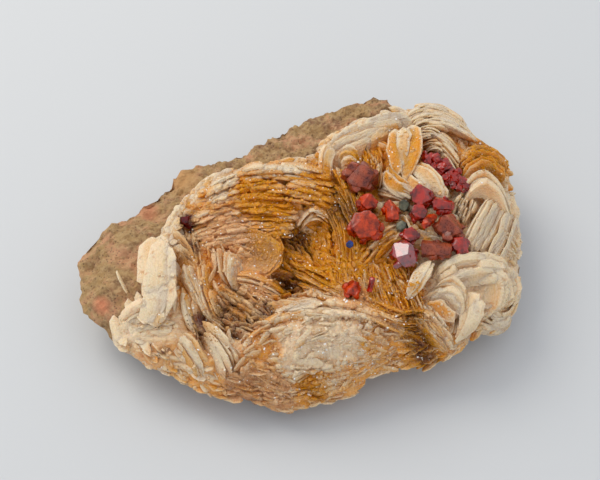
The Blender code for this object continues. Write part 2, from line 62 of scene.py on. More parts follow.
def sight(place):
    """The point at this height that is seen at this place of the picture."""
    across, down, height = place
    ray = FORWARD * SIGHT_DISTANCE + Vector(((across - SIGHT_MIDDLE[0]) * PIXEL, 0, 0))
    ray += UPWARD * (SIGHT_MIDDLE[1] - down) * PIXEL
    return EYE + ray * ((height * MM - EYE.z) / ray.z)


def seen_at(point):
    """Where in the picture a point is seen."""
    away = point - EYE
    scale = SIGHT_DISTANCE / away.dot(FORWARD) / PIXEL
    return SIGHT_MIDDLE[0] + away.x * scale, SIGHT_MIDDLE[1] - away.dot(UPWARD) * scale


lens = bpy.data.cameras.new("camera")
lens.lens = 85
lens.sensor_width = 36
lens.clip_start = 0.01
camera = bpy.data.objects.new("camera", lens)
camera.location = EYE
camera.rotation_euler = (math.pi / 2 - SIGHT_TILT, 0, 0)
bpy.context.scene.collection.objects.link(camera)
bpy.context.scene.camera = camera
bpy.context.scene.view_settings.view_transform = "Standard"

# Floor. A wide matt white board that the specimen lies on. It is painted and has no gloss, so that the
# soft shadow shows and nothing is mirrored in it.


def linear(hex_colour):
    """An sRGB hex colour as the linear values that a shader takes."""
    parts = [int(hex_colour[i : i + 2], 16) / 255 for i in (1, 3, 5)]
    return tuple(p / 12.92 if p <= 0.04045 else ((p + 0.055) / 1.055) ** 2.4 for p in parts) + (1,)


def new_material(name):
    material = bpy.data.materials.new(name)
    material.use_nodes = True
    return material, material.node_tree, material.node_tree.nodes["Principled BSDF"]


def wire(node, **inputs):
    """Sets or links inputs of a node, each by its name or by an underline and its number."""
    for key, value in inputs.items():
        socket = node.inputs[int(key[1:]) if key[1:].isdigit() else key.replace("_", " ")]
        if isinstance(value, bpy.types.NodeSocket):
            node.id_data.links.new(value, socket)
        else:
            socket.default_value = linear(value) if isinstance(value, str) else value


def add(tree, kind, settings=(), out=0, stops=(), **inputs):
    """Adds a node of this kind with its settings, inputs and colour stops, and gives one of its outputs."""
    node = tree.nodes.new("ShaderNode" + kind)
    for key, value in dict(settings).items():
        setattr(node, key, value)
    for _ in stops[2:]:
        node.color_ramp.elements.new(0.5)
    for index, (position, colour) in enumerate(stops):
        element = node.color_ramp.elements[index]
        element.position = position
        element.color = linear(colour) if isinstance(colour, str) else (colour, colour, colour, 1)
    wire(node, **inputs)
    return node.outputs[out]


SHARP = math.radians(24)


def new_piece(name, bm, material):
    """An object of this mesh and material, with its sharper edges kept crisp."""
    mesh = bpy.data.meshes.new(name)
    for face in bm.faces:
        face.smooth = True
    for edge in bm.edges:
        edge.smooth = edge.calc_face_angle(0) < SHARP
    bm.to_mesh(mesh)
    bm.free()
    mesh.materials.append(material)
    piece = bpy.data.objects.new(name, mesh)
    bpy.context.scene.collection.objects.link(piece)
    return piece


FLOOR_SIDE = 3.0
board, tree, shader = new_material("matt_white_board")
wire(shader, Base_Color="#D0D1CF", Roughness=0.8)
bm = bmesh.new()
bmesh.ops.create_grid(bm, x_segments=1, y_segments=1, size=FLOOR_SIDE / 2)
floor = new_piece("floor", bm, board)

# Light. A broad soft window at the upper left and behind gives the highlights and the shadow, and a pale,
# slightly blue sky all round fills it.
WINDOW_PLACE = Vector((-0.30, 0.27, 0.45))
WINDOW_AIM = Vector((0, 0, 0.01))
window = bpy.data.lights.new("window", "AREA")
window.shape = "DISK"
window.size = 0.42
window.energy = 1.6
window.color = (1, 0.95, 0.875)
lamp = bpy.data.objects.new("window", window)
lamp.location = WINDOW_PLACE
lamp.rotation_euler = (WINDOW_AIM - WINDOW_PLACE).to_track_quat("-Z", "Y").to_euler()
bpy.context.scene.collection.objects.link(lamp)
sky = bpy.data.worlds.new("sky")
bpy.context.scene.world = sky
sky.use_nodes = True
wire(sky.node_tree.nodes["Background"], Color="#E6EAF3", Strength=0.95)

# Host rock. A lump of gritty, iron-stained rock broken off the vein's wall: mauve-brown, pitted, with
# pinkish grains and a rough flat underside that it rests on.
# Its outer line and that of the barite crust on it, as places of the picture.
ROCK_EDGE = (
    (79, 262, 12), (90, 243, 13), (128, 219, 14), (161, 193, 15), (178, 174, 15), (211, 165, 15),
    (246, 155, 15), (270, 140, 15.5), (299, 127, 16), (334, 112, 16), (363, 101, 16), (388, 98, 16),
    (402, 108, 15), (440, 122, 13), (478, 148, 12), (500, 168, 11), (507, 195, 10), (514, 228, 9.5),
    (517, 262, 8.5), (516, 300, 7.5), (498, 325, 6.5), (470, 335, 5.5), (436, 344, 5), (396, 353, 4.5),
    (362, 362, 4.5), (345, 377, 4), (300, 388, 3.5), (258, 386, 3.5), (232, 382, 4), (190, 374, 4.5),
    (150, 358, 5.5), (112, 343, 7.5), (98, 326, 8.5), (82, 306, 9.5),
)
CRUST_EDGE = (
    (156, 300, 13), (150, 270, 15), (158, 238, 17), (180, 205, 17.5), (208, 178, 17.5), (262, 166, 17.5),
    (318, 160, 17.5), (326, 140, 17.5), (362, 121, 17.5), (402, 110, 17), (425, 105, 16.5),
    (444, 118, 15.5), (463, 124, 15), (481, 144, 14), (506, 157, 13), (511, 190, 12.5),
    (519, 228, 12), (517, 263, 11), (519, 300, 10), (500, 322, 9), (474, 332, 9), (459, 352, 8),
    (422, 364, 8), (397, 367, 8), (366, 379, 8), (357, 391, 6.5), (322, 403, 5), (278, 412, 4.5),
    (256, 402, 5), (243, 396, 6), (228, 399, 6), (196, 390, 6.5), (173, 376, 7.5), (138, 360, 9),
    (114, 344, 10), (112, 330, 12), (128, 312, 13),
)
# The crust fills a dish in the rock's top. Below, the middle is laid out under the face that the rock rests
# on, and cut off flat there.
ROCK_PLATEAU = 16.5 * MM
ROCK_DISH = 6.5 * MM
FOOT_REACH = 0.62
FOOT_DROP = 1.2 * MM
LUMP, LUMP_SIZE = 0.9 * MM, 9 * MM
CRUMB, CRUMB_SIZE = 0.85 * MM, 2.6 * MM
CRUMB_ON_SIDES = 0.4
GRIT, GRIT_SIZE = 0.4 * MM, 0.9 * MM
PIT, PIT_SIZE = 1.6 * MM, 3.4 * MM
PIT_EDGE = 0.42


def polar(edge):
    """A closed outline: its middle, and the angle, reach and height of its points about that."""
    points = [sight(place) for place in edge]
    middle = sum(points, Vector()) / len(points)
    rows = sorted(
        (math.atan2(p.y - middle.y, p.x - middle.x), math.hypot(p.y - middle.y, p.x - middle.x), p.z)
        for p in points
    )
    angles, reaches, heights = (np.array(column) for column in zip(*rows))
    return middle, angles, reaches, heights


CRUST_POLAR = polar(CRUST_EDGE)


def around(angle, angles, values):
    """The value at this angle, between those of the two nearest points of an outline."""
    return float(np.interp(angle, angles, values, period=2 * math.pi))


def crust_share(x, y):
    """How far out a place lies on the crust: 0 at its middle and 1 at its outer line."""
    middle, angles, reaches, _ = CRUST_POLAR
    away = math.hypot(x - middle.x, y - middle.y)
    return away / around(math.atan2(y - middle.y, x - middle.x), angles, reaches)


def rock_top(x, y, rim, share):
    """The height of the rock's top where its outline is this high and this share of the way out."""
    dish = ROCK_DISH * max(0.0, 1 - crust_share(x, y) ** 3)
    return rim + (ROCK_PLATEAU - dish - rim) * (1 - share**5)


def rock_bottom(x, y, rim, share):
    if share < FOOT_REACH:
        return -FOOT_DROP
    climb = (share - FOOT_REACH) / (1 - FOOT_REACH)
    return -FOOT_DROP + (rim + FOOT_DROP) * climb**1.7


def lofted_lump(edge, segments, rings, top, bottom):
    """A sphere laid out on an outline: its upper half is lifted to top, its lower half to bottom."""
    middle, angles, reaches, heights = polar(edge)
    bm = bmesh.new()
    bmesh.ops.create_uvsphere(bm, u_segments=segments, v_segments=rings, radius=1)
    for vertex in bm.verts:
        angle = math.atan2(vertex.co.y, vertex.co.x)
        share = 2 / math.pi * math.asin(min(1.0, math.hypot(vertex.co.x, vertex.co.y)))
        reach = around(angle, angles, reaches) * share
        rim = around(angle, angles, heights)
        x, y = middle.x + reach * math.cos(angle), middle.y + reach * math.sin(angle)
        vertex.co = Vector((x, y, (top if vertex.co.z >= 0 else bottom)(x, y, rim, share)))
    return bm


def lumpy(point, size, seed, octaves=3):
    """Smooth noise about 0 whose swells are this size."""
    return noise.fractal(point / size + Vector((seed, seed, seed)), 1.0, 2.0, octaves)


def rough_rock(bm):
    """Lumps, crumbs a few millimetres across, grit, and small pits where grains fell out."""
    bm.normal_update()
    shifts = []
    for vertex in bm.verts:
        place = vertex.co
        shift = LUMP * lumpy(place, LUMP_SIZE, 3)
        lying = CRUMB_ON_SIDES + (1 - CRUMB_ON_SIDES) * abs(vertex.normal.z)
        shift += CRUMB * lumpy(place, CRUMB_SIZE, 11, 4) * lying
        shift += GRIT * lumpy(place, GRIT_SIZE, 23, 2)
        shift -= PIT * max(0.0, lumpy(place, PIT_SIZE, 47, 2) - PIT_EDGE)
        shifts.append(vertex.normal * shift)
    for vertex, shift in zip(bm.verts, shifts):
        vertex.co += shift


def cut_face(bm, place, way):
    """Cuts the mesh flat at a place, takes off what lies beyond it on this way, and closes it."""
    everything = bm.verts[:] + bm.edges[:] + bm.faces[:]
    cut = bmesh.ops.bisect_plane(bm, geom=everything, plane_co=place, plane_no=way, clear_outer=True)
    rim = [edge for edge in cut["geom_cut"] if isinstance(edge, bmesh.types.BMEdge)]
    if rim:
        bmesh.ops.contextual_create(bm, geom=rim)


bm = lofted_lump(ROCK_EDGE, 440, 150, rock_top, rock_bottom)
rough_rock(bm)
cut_face(bm, (0, 0, 0), (0, 0, -1))
bmesh.ops.recalc_face_normals(bm, faces=bm.faces)

# Iron-stained grit: a dry broken surface, so it is matt. Grains of 0.3 to 1 mm in brown and tan, pinkish
# patches several millimetres across, dark specks, three larger stains, and painted shade that darkens the
# foot.
ROCK_SPOTS = (
    ((103, 305, 11), 1.7 * MM, "#D98A62"),
    ((183, 181, 15), 3.4 * MM, "#C3935C"),
    ((150, 214, 14), 2.2 * MM, "#C9825C"),
)
COLOURS = {"data_type": "RGBA"}
gritty, tree, shader = new_material("iron_stained_gritty_rock")
place = add(tree, "TexCoord", out="Object")
patches = add(tree, "TexNoise", Vector=place, Scale=1 / (7 * MM), Detail=4.0, Roughness=0.6)
grains = add(tree, "TexNoise", Vector=place, Scale=1 / (0.9 * MM), Detail=3.0, Roughness=0.7)
crumbs = add(tree, "TexVoronoi", Vector=place, Scale=1 / (0.7 * MM))
pink = add(tree, "TexNoise", Vector=place, Scale=1 / (4 * MM), Detail=3.0, Distortion=0.6)
browns = (0.34, "#765639"), (0.45, "#937049"), (0.55, "#A98655"), (0.68, "#845D40")
base = add(tree, "ValToRGB", Fac=patches, stops=browns)
coats = [
    (add(tree, "ValToRGB", Fac=pink, stops=((0.5, 0.0), (0.64, 0.8))), "#C58E68"),
    (add(tree, "ValToRGB", Fac=grains, stops=((0.42, 0.0), (0.66, 0.65))), "#C1A273"),
    (add(tree, "ValToRGB", Fac=crumbs, stops=((0.05, 0.8), (0.32, 0.0))), "#543B2E"),
]
for spot, reach, colour in ROCK_SPOTS:
    away = add(tree, "VectorMath", {"operation": "DISTANCE"}, "Value", _0=place, _1=sight(spot))
    near = {"From_Min": 0.4 * reach, "From_Max": 1.4 * reach, "To_Min": 0.85, "To_Max": 0.0}
    coats.append((add(tree, "MapRange", Value=away, **near), colour))
# Painted shade: the rock's lower sides turn darker grey-brown towards the bottom, from 9.5 mm down to 2.5 mm.
low = add(tree, "SeparateXYZ", out="Z", Vector=place)
foot = {"From_Min": 2.5 * MM, "From_Max": 9.5 * MM, "To_Min": 0.6, "To_Max": 0.0}
coats.append((add(tree, "MapRange", Value=low, **foot), "#5B4D38"))
for share, colour in coats:
    base = add(tree, "Mix", COLOURS, 2, _0=share, _6=base, _7=colour)
fine = add(tree, "Bump", Height=grains, Strength=0.7, Distance=0.35 * MM)
knobs = add(tree, "Bump", Height=crumbs, Strength=0.5, Distance=0.3 * MM, Normal=fine)
wire(shader, Base_Color=base, Roughness=0.88, Normal=knobs)

rock = new_piece("rock_surface", bm, gritty)
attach(rock, "root")
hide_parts("host_rock")

# Massive barite. The crust under and between the blades: one intergrown mass, honey to cream, with the
# hollows and swells that the sheaves stand on.
CRUST_PLATEAU = 17 * MM
CRUST_SINK = 2 * MM
# A hill, or a hollow where it falls: its middle, its rise and its two reaches in millimetres, and its turn in
# degrees.
Hill = namedtuple("Hill", "middle rise long short turn")
HILLS = (
    Hill((265, 192, 19), 4.2, 13, 4.5, 5),
    Hill((212, 215, 18), 1.5, 7, 5, 0),
    Hill((306, 244, 17), -2.6, 6, 7, 0),
    Hill((324, 205, 18), 2.2, 3, 3, 0),
    Hill((288, 283, 15), -4.5, 5, 3, -20),
    Hill((190, 226, 17), -3.5, 2.5, 1.8, 0),
    Hill((164, 272, 18), 1.0, 2.5, 10, 0),
    Hill((160, 322, 13), -2.0, 3, 2.5, 0),
    Hill((215, 330, 14), -2.5, 7, 8, 0),
    Hill((325, 330, 18), 1.5, 14, 6, 0),
    Hill((325, 385, 8), -1.0, 10, 4, 0),
    Hill((415, 222, 19), 0.8, 9, 8, 0),
    Hill((345, 245, 19), 1.2, 4, 10, 15),
    Hill((395, 150, 20), 3.2, 9, 8, 0),
    Hill((350, 132, 19), 2.0, 8, 4, 20),
    Hill((462, 150, 19), 2.0, 10, 7, -30),
    Hill((448, 172, 18), -2.5, 2, 6, 40),
    Hill((485, 240, 17), 1.3, 8, 12, 0),
    Hill((465, 285, 17), 1.5, 10, 6, 0),
    Hill((410, 325, 14), -1.5, 8, 5, 0),
)
HILL_ROWS = [
    (sight(hill.middle), math.radians(hill.turn), hill.rise * MM, hill.long * MM, hill.short * MM)
    for hill in HILLS
]

# How the barite looks from place to place: across, down and reach in pixels; amber, pale, pink and dark as
# shares, which may pass 1; and how the blades run there, in degrees clockwise from the right. Dark is partly
# brown stain and partly painted shade, in the hollows, the gaps between blades and the red hole.
STAINS_AND_SHADE = (
    (256, 164, 11, 0.35, 0.65, 0.1, 0, 0), (163, 260, 16, 0.05, 0.8, 0.05, 0, 92),
    (190, 298, 11, 0.45, 0.4, 0.25, 0, 70), (193, 316, 5.5, 0.1, 0, 0.1, 1.1, 70),
    (190, 250, 7, 0.1, 0.1, 0.3, 0.8, 60), (266, 307, 5.5, 0.1, 0, 0.1, 1.1, 30),
    (130, 325, 20, 0.05, 1.0, 0.0, 0, -20), (161, 321, 7, 0.55, 0.15, 0, 0.3, 60),
    (158, 355, 3, 0, 0, 0, 1.5, 0), (168, 372, 3, 0, 0, 0, 1.5, 0),
    (148, 356, 12, 0.1, 0.45, 0.5, 0, 20), (178, 372, 16, 0.3, 0.5, 0.2, 0, 60),
    (229, 341, 9, 0.0, 0.75, 0.3, 0, 50), (207, 336, 4, 0.2, 0, 0.1, 0.9, 50),
    (236, 333, 4.5, 0.1, 0, 0.1, 1.1, 50), (214, 336, 6, 0.7, 0, 0, 0.5, 60),
    (196, 278, 14, 0.5, 0.25, 0.3, 0.05, 95), (222, 262, 12, 0.4, 0.4, 0.35, 0, 95),
    (240, 300, 14, 0.3, 0.0, 0.3, 0.7, 35), (256, 285, 15, 0.35, 0.25, 0.6, 0, 12),
    (288, 284, 10, 0.9, 0, 0, 0.8, 20), (184, 226, 5, 0, 0, 0, 1.4, 0),
    (171, 236, 10, 0.05, 0.8, 0.05, 0, 92), (168, 306, 13, 0.05, 0.8, 0.05, 0, 92),
    (232, 234, 18, 0.4, 0.15, 0.65, 0, -5), (214, 180, 14, 0.15, 0.65, 0.15, 0, -30),
    (262, 196, 18, 1.15, 0.05, 0, 0, -2), (300, 192, 18, 1.2, 0.15, 0, 0, 12),
    (285, 170, 14, 0.65, 0.6, 0.0, 0, 3), (212, 208, 10, 0.5, 0.15, 0.5, 0, -12),
    (268, 256, 11, 0.9, 0.0, 0.3, 0.42, 80), (302, 244, 9, 0.75, 0, 0, 0.9, 40),
    (310, 215, 7, 0.3, 0.5, 0, 0, 0), (328, 262, 20, 1.0, 0.0, 0, 0.12, 60),
    (344, 206, 12, 1.0, 0, 0, 0.75, 60), (300, 216, 8, 0.4, 0.4, 0.2, 0, -20),
    (352, 298, 12, 0.45, 0.1, 0.6, 0.18, 28), (320, 335, 26, 0.2, 0.9, 0.0, 0, -15),
    (296, 308, 12, 0.3, 0.45, 0.4, 0, -10), (385, 340, 15, 0.35, 0.35, 0.25, 0, -10),
    (262, 350, 12, 0.5, 0.3, 0.4, 0.2, -25), (264, 388, 14, 0.2, 0.15, 0.65, 0.38, 10),
    (314, 382, 9, 0.8, 0.05, 0.1, 0.45, -10), (345, 377, 12, 0.4, 0.35, 0.35, 0, -15),
    (418, 334, 12, 0.8, 0.0, 0, 0.8, 0), (440, 325, 12, 0.35, 0.5, 0.25, 0, 60),
    (386, 285, 14, 0.7, 0.15, 0.05, 0.1, 60), (380, 242, 10, 0.55, 0.2, 0, 0.25, -35),
    (465, 264, 18, 0.08, 0.85, 0.1, 0, -5), (497, 290, 16, 0.1, 0.85, 0.1, 0.08, 70),
    (468, 314, 9, 0.08, 0.7, 0, 0.14, 110), (490, 228, 18, 0.15, 0.8, 0.1, 0, -50),
    (462, 210, 8, 0.05, 0.75, 0.35, 0, -60), (487, 182, 10, 0.2, 0.65, 0.1, 0.12, 20),
    (487, 161, 10, 0.9, 0.0, 0.1, 0.4, 15), (440, 118, 18, 0.12, 0.75, 0.1, 0, 25),
    (445, 152, 12, 0.45, 0.4, 0.15, 0, 45), (402, 155, 15, 0.5, 0.3, 0.1, 0.08, 88),
    (430, 182, 10, 0.45, 0.4, 0.05, 0, 55), (400, 193, 9, 0.3, 0.6, 0, 0, 20),
    (362, 127, 15, 0.15, 0.65, 0.1, 0, -25), (380, 146, 7, 0.9, 0.05, 0, 0.1, 0),
    (360, 160, 8, 0.8, 0.1, 0, 0.3, 80), (336, 150, 9, 0.2, 0.6, 0.05, 0, 80),
    (354, 186, 10, 0.85, 0.1, 0, 0.2, 65), (408, 228, 12, 0.4, 0.45, 0, 0.1, 40),
    (300, 258, 10, 0.95, 0.1, 0, 0.35, 30),
)
STAIN_AND_SHADE_ROWS = np.array(STAINS_AND_SHADE, dtype=float)


def stain_and_shade_at(point):
    """Amber, pale, pink and dark of the barite seen where this point is, and its blades' turn; dark holds
    painted shade as well as stain.
    """
    across, down = seen_at(point)
    away = ((STAIN_AND_SHADE_ROWS[:, 0] - across) ** 2 + (STAIN_AND_SHADE_ROWS[:, 1] - down) ** 2) / STAIN_AND_SHADE_ROWS[:, 2] ** 2
    weights = np.exp(-away) + 1e-6
    return (weights[:, None] * STAIN_AND_SHADE_ROWS[:, 3:]).sum(axis=0) / weights.sum()


def crust_height(x, y):
    height = CRUST_PLATEAU
    for middle, turn, rise, long, short in HILL_ROWS:
        away = Matrix.Rotation(-turn, 2) @ Vector((x - middle.x, y - middle.y))
        height += rise * math.exp(-((away.x / long) ** 2) - (away.y / short) ** 2)
    return height


def crust_top(x, y, rim, share):
    return rim + (crust_height(x, y) - rim) * (1 - share**6)


def crust_bottom(x, y, rim, share):
    under = ROCK_PLATEAU - ROCK_DISH - CRUST_SINK
    return under + (rim - under) * share**3


# The front mound and the vanadinites' hollow: a middle and two reaches, in pixels.
MOUND = (325, 340), 60, 27
HOLLOW = (425, 222), 45, 35


def close_to(seen, middle, across, down):
    """1 where this place of the picture is seen, fading to 0 over these reaches around it."""
    return math.exp(-(((seen[0] - middle[0]) / across) ** 2) - ((seen[1] - middle[1]) / down) ** 2)


MASS_DROP = 1.1 * MM
MASS_RIM = 6 * MM
MOUND_WEAR = 0.6
bm = lofted_lump(CRUST_EDGE, 460, 160, crust_top, crust_bottom)
stain_and_shade_layer = bm.verts.layers.float_color.new("stain_and_shade")
grain_layer = bm.verts.layers.float_vector.new("grain")
bm.normal_update()
for vertex in bm.verts:
    place = vertex.co.copy()
    seen = seen_at(place)
    mound = close_to(seen, *MOUND)
    worn = 1 - MOUND_WEAR * mound
    shift = 0.4 * lumpy(place, 5 * MM, 8) + worn * 0.7 * lumpy(place, 2.2 * MM, 31, 4)
    shift += worn * 0.25 * lumpy(place, 0.9 * MM, 2, 2)
    vertex.co += (vertex.normal + Vector((0, 0, 1))) * 0.7 * shift * MM
    if place.z > MASS_RIM:
        inner = 1 - crust_share(place.x, place.y) ** 4
        vertex.co.z -= MASS_DROP * inner * (1 - max(close_to(seen, *HOLLOW), mound))
    amber, pale, pink, dark, _ = stain_and_shade_at(place)
    # The mass is more amber and less pale than the blades, and a little darker: that darkening is painted
    # shade under and between them.
    vertex[stain_and_shade_layer] = (amber + 0.2, pale - 0.2, pink, dark + 0.06)
    vertex[grain_layer] = place / MM
bmesh.ops.recalc_face_normals(bm, faces=bm.faces)

# Barite: a soft pearly crystal that lets some light in, so its thin edges glow. Iron stains its depths
# amber, fresh edges stay cream to white, and a sugary skin of tiny crystals makes it pinkish tan. Its dark
# brown is partly stain and partly painted shade in hollows and between blades.
barite, tree, shader = new_material("iron_stained_bladed_barite")
place = add(tree, "TexCoord", out="Object")
stain_and_shade = add(tree, "Attribute", {"attribute_name": "stain_and_shade"})
stains = add(tree, "SeparateColor", Color=stain_and_shade).node.outputs
grain = add(tree, "Attribute", {"attribute_name": "grain"}, "Vector")
clouds = add(tree, "TexNoise", Vector=place, Scale=1 / (4.5 * MM), Detail=4.0, Roughness=0.6)
mottle = add(tree, "TexNoise", Vector=place, Scale=1 / (1.6 * MM), Detail=3.0, Roughness=0.65)
sugar = add(tree, "TexNoise", Vector=place, Scale=1 / (0.42 * MM), Detail=2.0, Roughness=0.6)
stretched = add(tree, "Mapping", {"vector_type": "POINT"}, Vector=grain, Scale=(0.22, 2.2, 1.0))
streaks = add(tree, "TexNoise", Vector=stretched, Scale=1.0, Detail=3.0, Roughness=0.6)
SMOOTH = {"interpolation_type": "SMOOTHSTEP"}


def patchy(amount, pattern, gain, low, high):
    """A stain's amount made patchy by a pattern's swing about its middle, then spread from low to high."""
    swing = add(tree, "Math", {"operation": "MULTIPLY_ADD"}, _0=pattern, _1=gain, _2=-gain / 2)
    total = add(tree, "Math", {"operation": "ADD"}, _0=amount, _1=swing)
    return add(tree, "MapRange", SMOOTH, Value=total, From_Min=low, From_Max=high)


BARITE_COATS = (
    (patchy(stains["Red"], clouds, 0.9, 0.1, 0.8), "#E89400"),
    (patchy(stains["Blue"], mottle, 0.8, 0.1, 0.9), "#EEAC74"),
    (patchy(stains["Green"], streaks, 0.5, 0.15, 0.8), "#F6D8B0"),
    # Dark brown: partly stain, partly painted shade in hollows, gaps and between blades.
    (patchy(stain_and_shade.node.outputs["Alpha"], mottle, 0.6, 0.1, 1.0), "#521A00"),
    (add(tree, "ValToRGB", Fac=mottle, stops=((0.57, 0.0), (0.7, 0.5))), "#C47400"),
    (add(tree, "ValToRGB", Fac=sugar, stops=((0.54, 0.0), (0.68, 0.18))), "#FFEBC8"),
)
colour = "#F0BA78"
for share, coat in BARITE_COATS:
    colour = add(tree, "Mix", COLOURS, 2, _0=share, _6=colour, _7=coat)
shine = add(tree, "MapRange", Value=sugar, From_Min=0.3, From_Max=0.7, To_Min=0.16, To_Max=0.5)
lines = add(tree, "Bump", Height=streaks, Strength=0.8, Distance=0.4 * MM)
skin = add(tree, "Bump", Height=sugar, Strength=0.9, Distance=0.35 * MM, Normal=lines)
wire(shader, Base_Color=colour, Roughness=shine, IOR=1.64, Specular_IOR_Level=0.3, Normal=skin)
wire(shader, Subsurface_Weight=0.35, Subsurface_Radius=(1.0, 0.75, 0.45), Subsurface_Scale=1.6 * MM)

mass = new_piece("barite_mass", bm, barite)
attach(mass, "root")
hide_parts("barite_crust")

# Barite blades. Thin tabular crystals grown side by side in sheaves, like the leaves of a book or the
# petals of a rose: each is thickest in its middle, thins to its crest, and has a nicked edge.
# A sheaf has its name, its first and last crest by their start, middle and end, how many blades it has, their
# thickness and depth in millimetres, their way from a crest into the crust, and how ragged the crests are.
# Then how far its faces lie open: 0 where only edges show, 0.5 for plain faces and 1 for amber faces within
# pale rims; and into how many blades each crest is broken.
Sheaf = namedtuple("Sheaf", "name first last count thick depth into ragged open broken", defaults=(0, 3))


def blade_template(name, *cuts):
    """A closed box, cut this often lengthwise, across its thickness and in depth."""
    bm = bmesh.new()
    bmesh.ops.create_cube(bm, size=1)
    for axis, count in enumerate(cuts):
        along = [e for e in bm.edges if abs(e.verts[0].co[axis] - e.verts[1].co[axis]) > 0.5]
        if count:
            bmesh.ops.subdivide_edges(bm, edges=along, cuts=count, use_grid_fill=True)
    mesh = bpy.data.meshes.new(name)
    bm.to_mesh(mesh)
    bm.free()
    return mesh


BLADE = blade_template("blade_template", 7, 1, 2)
BLADELET = blade_template("bladelet_template", 5, 1, 1)


CHANCE_FACTORS = 12.9898, 78.233, 37.719
CHANCE_GAIN = 43758.5453


def chance(*seeds):
    """A number from 0 to 1 that depends on its seeds alone."""
    wave = math.sin(sum(seed * factor for seed, factor in zip(seeds, CHANCE_FACTORS))) * CHANCE_GAIN
    return wave - math.floor(wave)


NICK_SIZE = 1.3
WAVE, WAVE_SIZE = 0.2 * MM, 3


def grow_blade(bm, layers, template, crest, span, thick, depth, into, ragged, seed, opened=0):
    """Shapes a copy of the template into one blade along this span of its crest."""
    start, middle, end = crest
    bow = middle - (start + end) / 2
    side = (end - start).cross(into).normalized()
    length = (end - start).length * (span[1] - span[0])
    old = len(bm.verts)
    bm.from_mesh(template)
    bm.verts.ensure_lookup_table()
    ends = [start.lerp(end, t) + bow * 4 * t * (1 - t) for t in (span[0], sum(span) / 2, span[1])]
    tones = [stain_and_shade_at(point) for point in ends]
    own = chance(seed, 4) * 2 - 1
    slant = chance(seed, 8) - 0.5
    taper = (0.14 + 0.3 * chance(seed, 10)) * (0.5 if opened == 0.5 else 1)
    skew = 0.55 + 0.9 * chance(seed, 13)
    blush = 0.2 * (chance(seed, 9) - 0.5)
    for vertex in bm.verts[old:]:
        along, across, down = vertex.co.x + 0.5, vertex.co.y * 2, (0.5 - vertex.co.z) ** 1.5
        # A blade thins to both its ends, one of them blunter than the other.
        leaning = along**skew
        blunt = (4 * leaning * (1 - leaning)) ** taper
        t = span[0] + along * (span[1] - span[0])
        line = start.lerp(end, t) + bow * 4 * t * (1 - t)
        # Its crest is nicked in steps, as barite breaks along its cleavage.
        nick = lumpy(Vector((along * length / MM / NICK_SIZE, seed * 7.3, 0)), 1.0, 5, 3)
        nick = 0.5 * nick + 0.5 * round(nick * 2.5) / 2.5
        sunk = depth * (0.6 + 0.4 * blunt + slant * (along - 0.5)) * down - ragged * nick * (1 - down)
        sunk += min(depth, length * 0.5) * 0.4 * (1 - blunt) * (1 - down)
        width = thick * (0.25 + 0.75 * min(1.0, down * 5)) * (0.3 + 0.7 * blunt)
        wave = lumpy(Vector((along * length / MM / WAVE_SIZE, seed * 3.1, down * 2)), 1.0, 9, 2)
        vertex.co = line + into * sunk + side * (across * width / 2 + wave * WAVE)
        # Its colour runs along it, with a paler crest and a more amber depth, which is also darkened as
        # painted shade between the blades.
        early, late = (tones[0], tones[1]) if along < 0.5 else (tones[1], tones[2])
        tone = early + (late - early) * (2 * along if along < 0.5 else 2 * along - 1)
        edge = 1 - min(1.0, down * 5)
        if opened:
            edge = max(edge, 1 - min(1.0, 1.6 * blunt * blunt), down**4)
        deep = 0 if opened else down
        vertex[layers[0]] = (
            tone[0] + 0.25 * own + 0.25 * deep + 0.08 * opened * (1 - edge),
            tone[1] - 0.25 * own + (0.12 + 0.3 * opened) * edge - 0.3 * deep - 0.3 * opened * (1 - edge),
            tone[2] + blush,
            tone[3] + 0.22 * deep - 0.2 * edge,
        )
        vertex[layers[1]] = (along * length / MM, sunk / MM, seed * 13.7 + across)


def barite_layers(bm):
    return bm.verts.layers.float_color.new("stain_and_shade"), bm.verts.layers.float_vector.new("grain")


coated_pieces = [mass]


def barite_piece(name, bm, material=barite):
    bmesh.ops.recalc_face_normals(bm, faces=bm.faces)
    piece = new_piece(name, bm, material)
    coated_pieces.append(piece)
    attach(piece, "root")
    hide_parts("barite_crust")


CREST_CLEAR = 0.5 * MM


def above_mass(point):
    """The same point, or one straight above it that clears the massive barite."""
    middle, angles, _, heights = CRUST_POLAR
    rim = around(math.atan2(point.y - middle.y, point.x - middle.x), angles, heights)
    ground = crust_top(point.x, point.y, rim, min(1.0, crust_share(point.x, point.y)))
    return Vector((point.x, point.y, max(point.z, ground + CREST_CLEAR)))


CREST_STRAY = 0.6 * MM


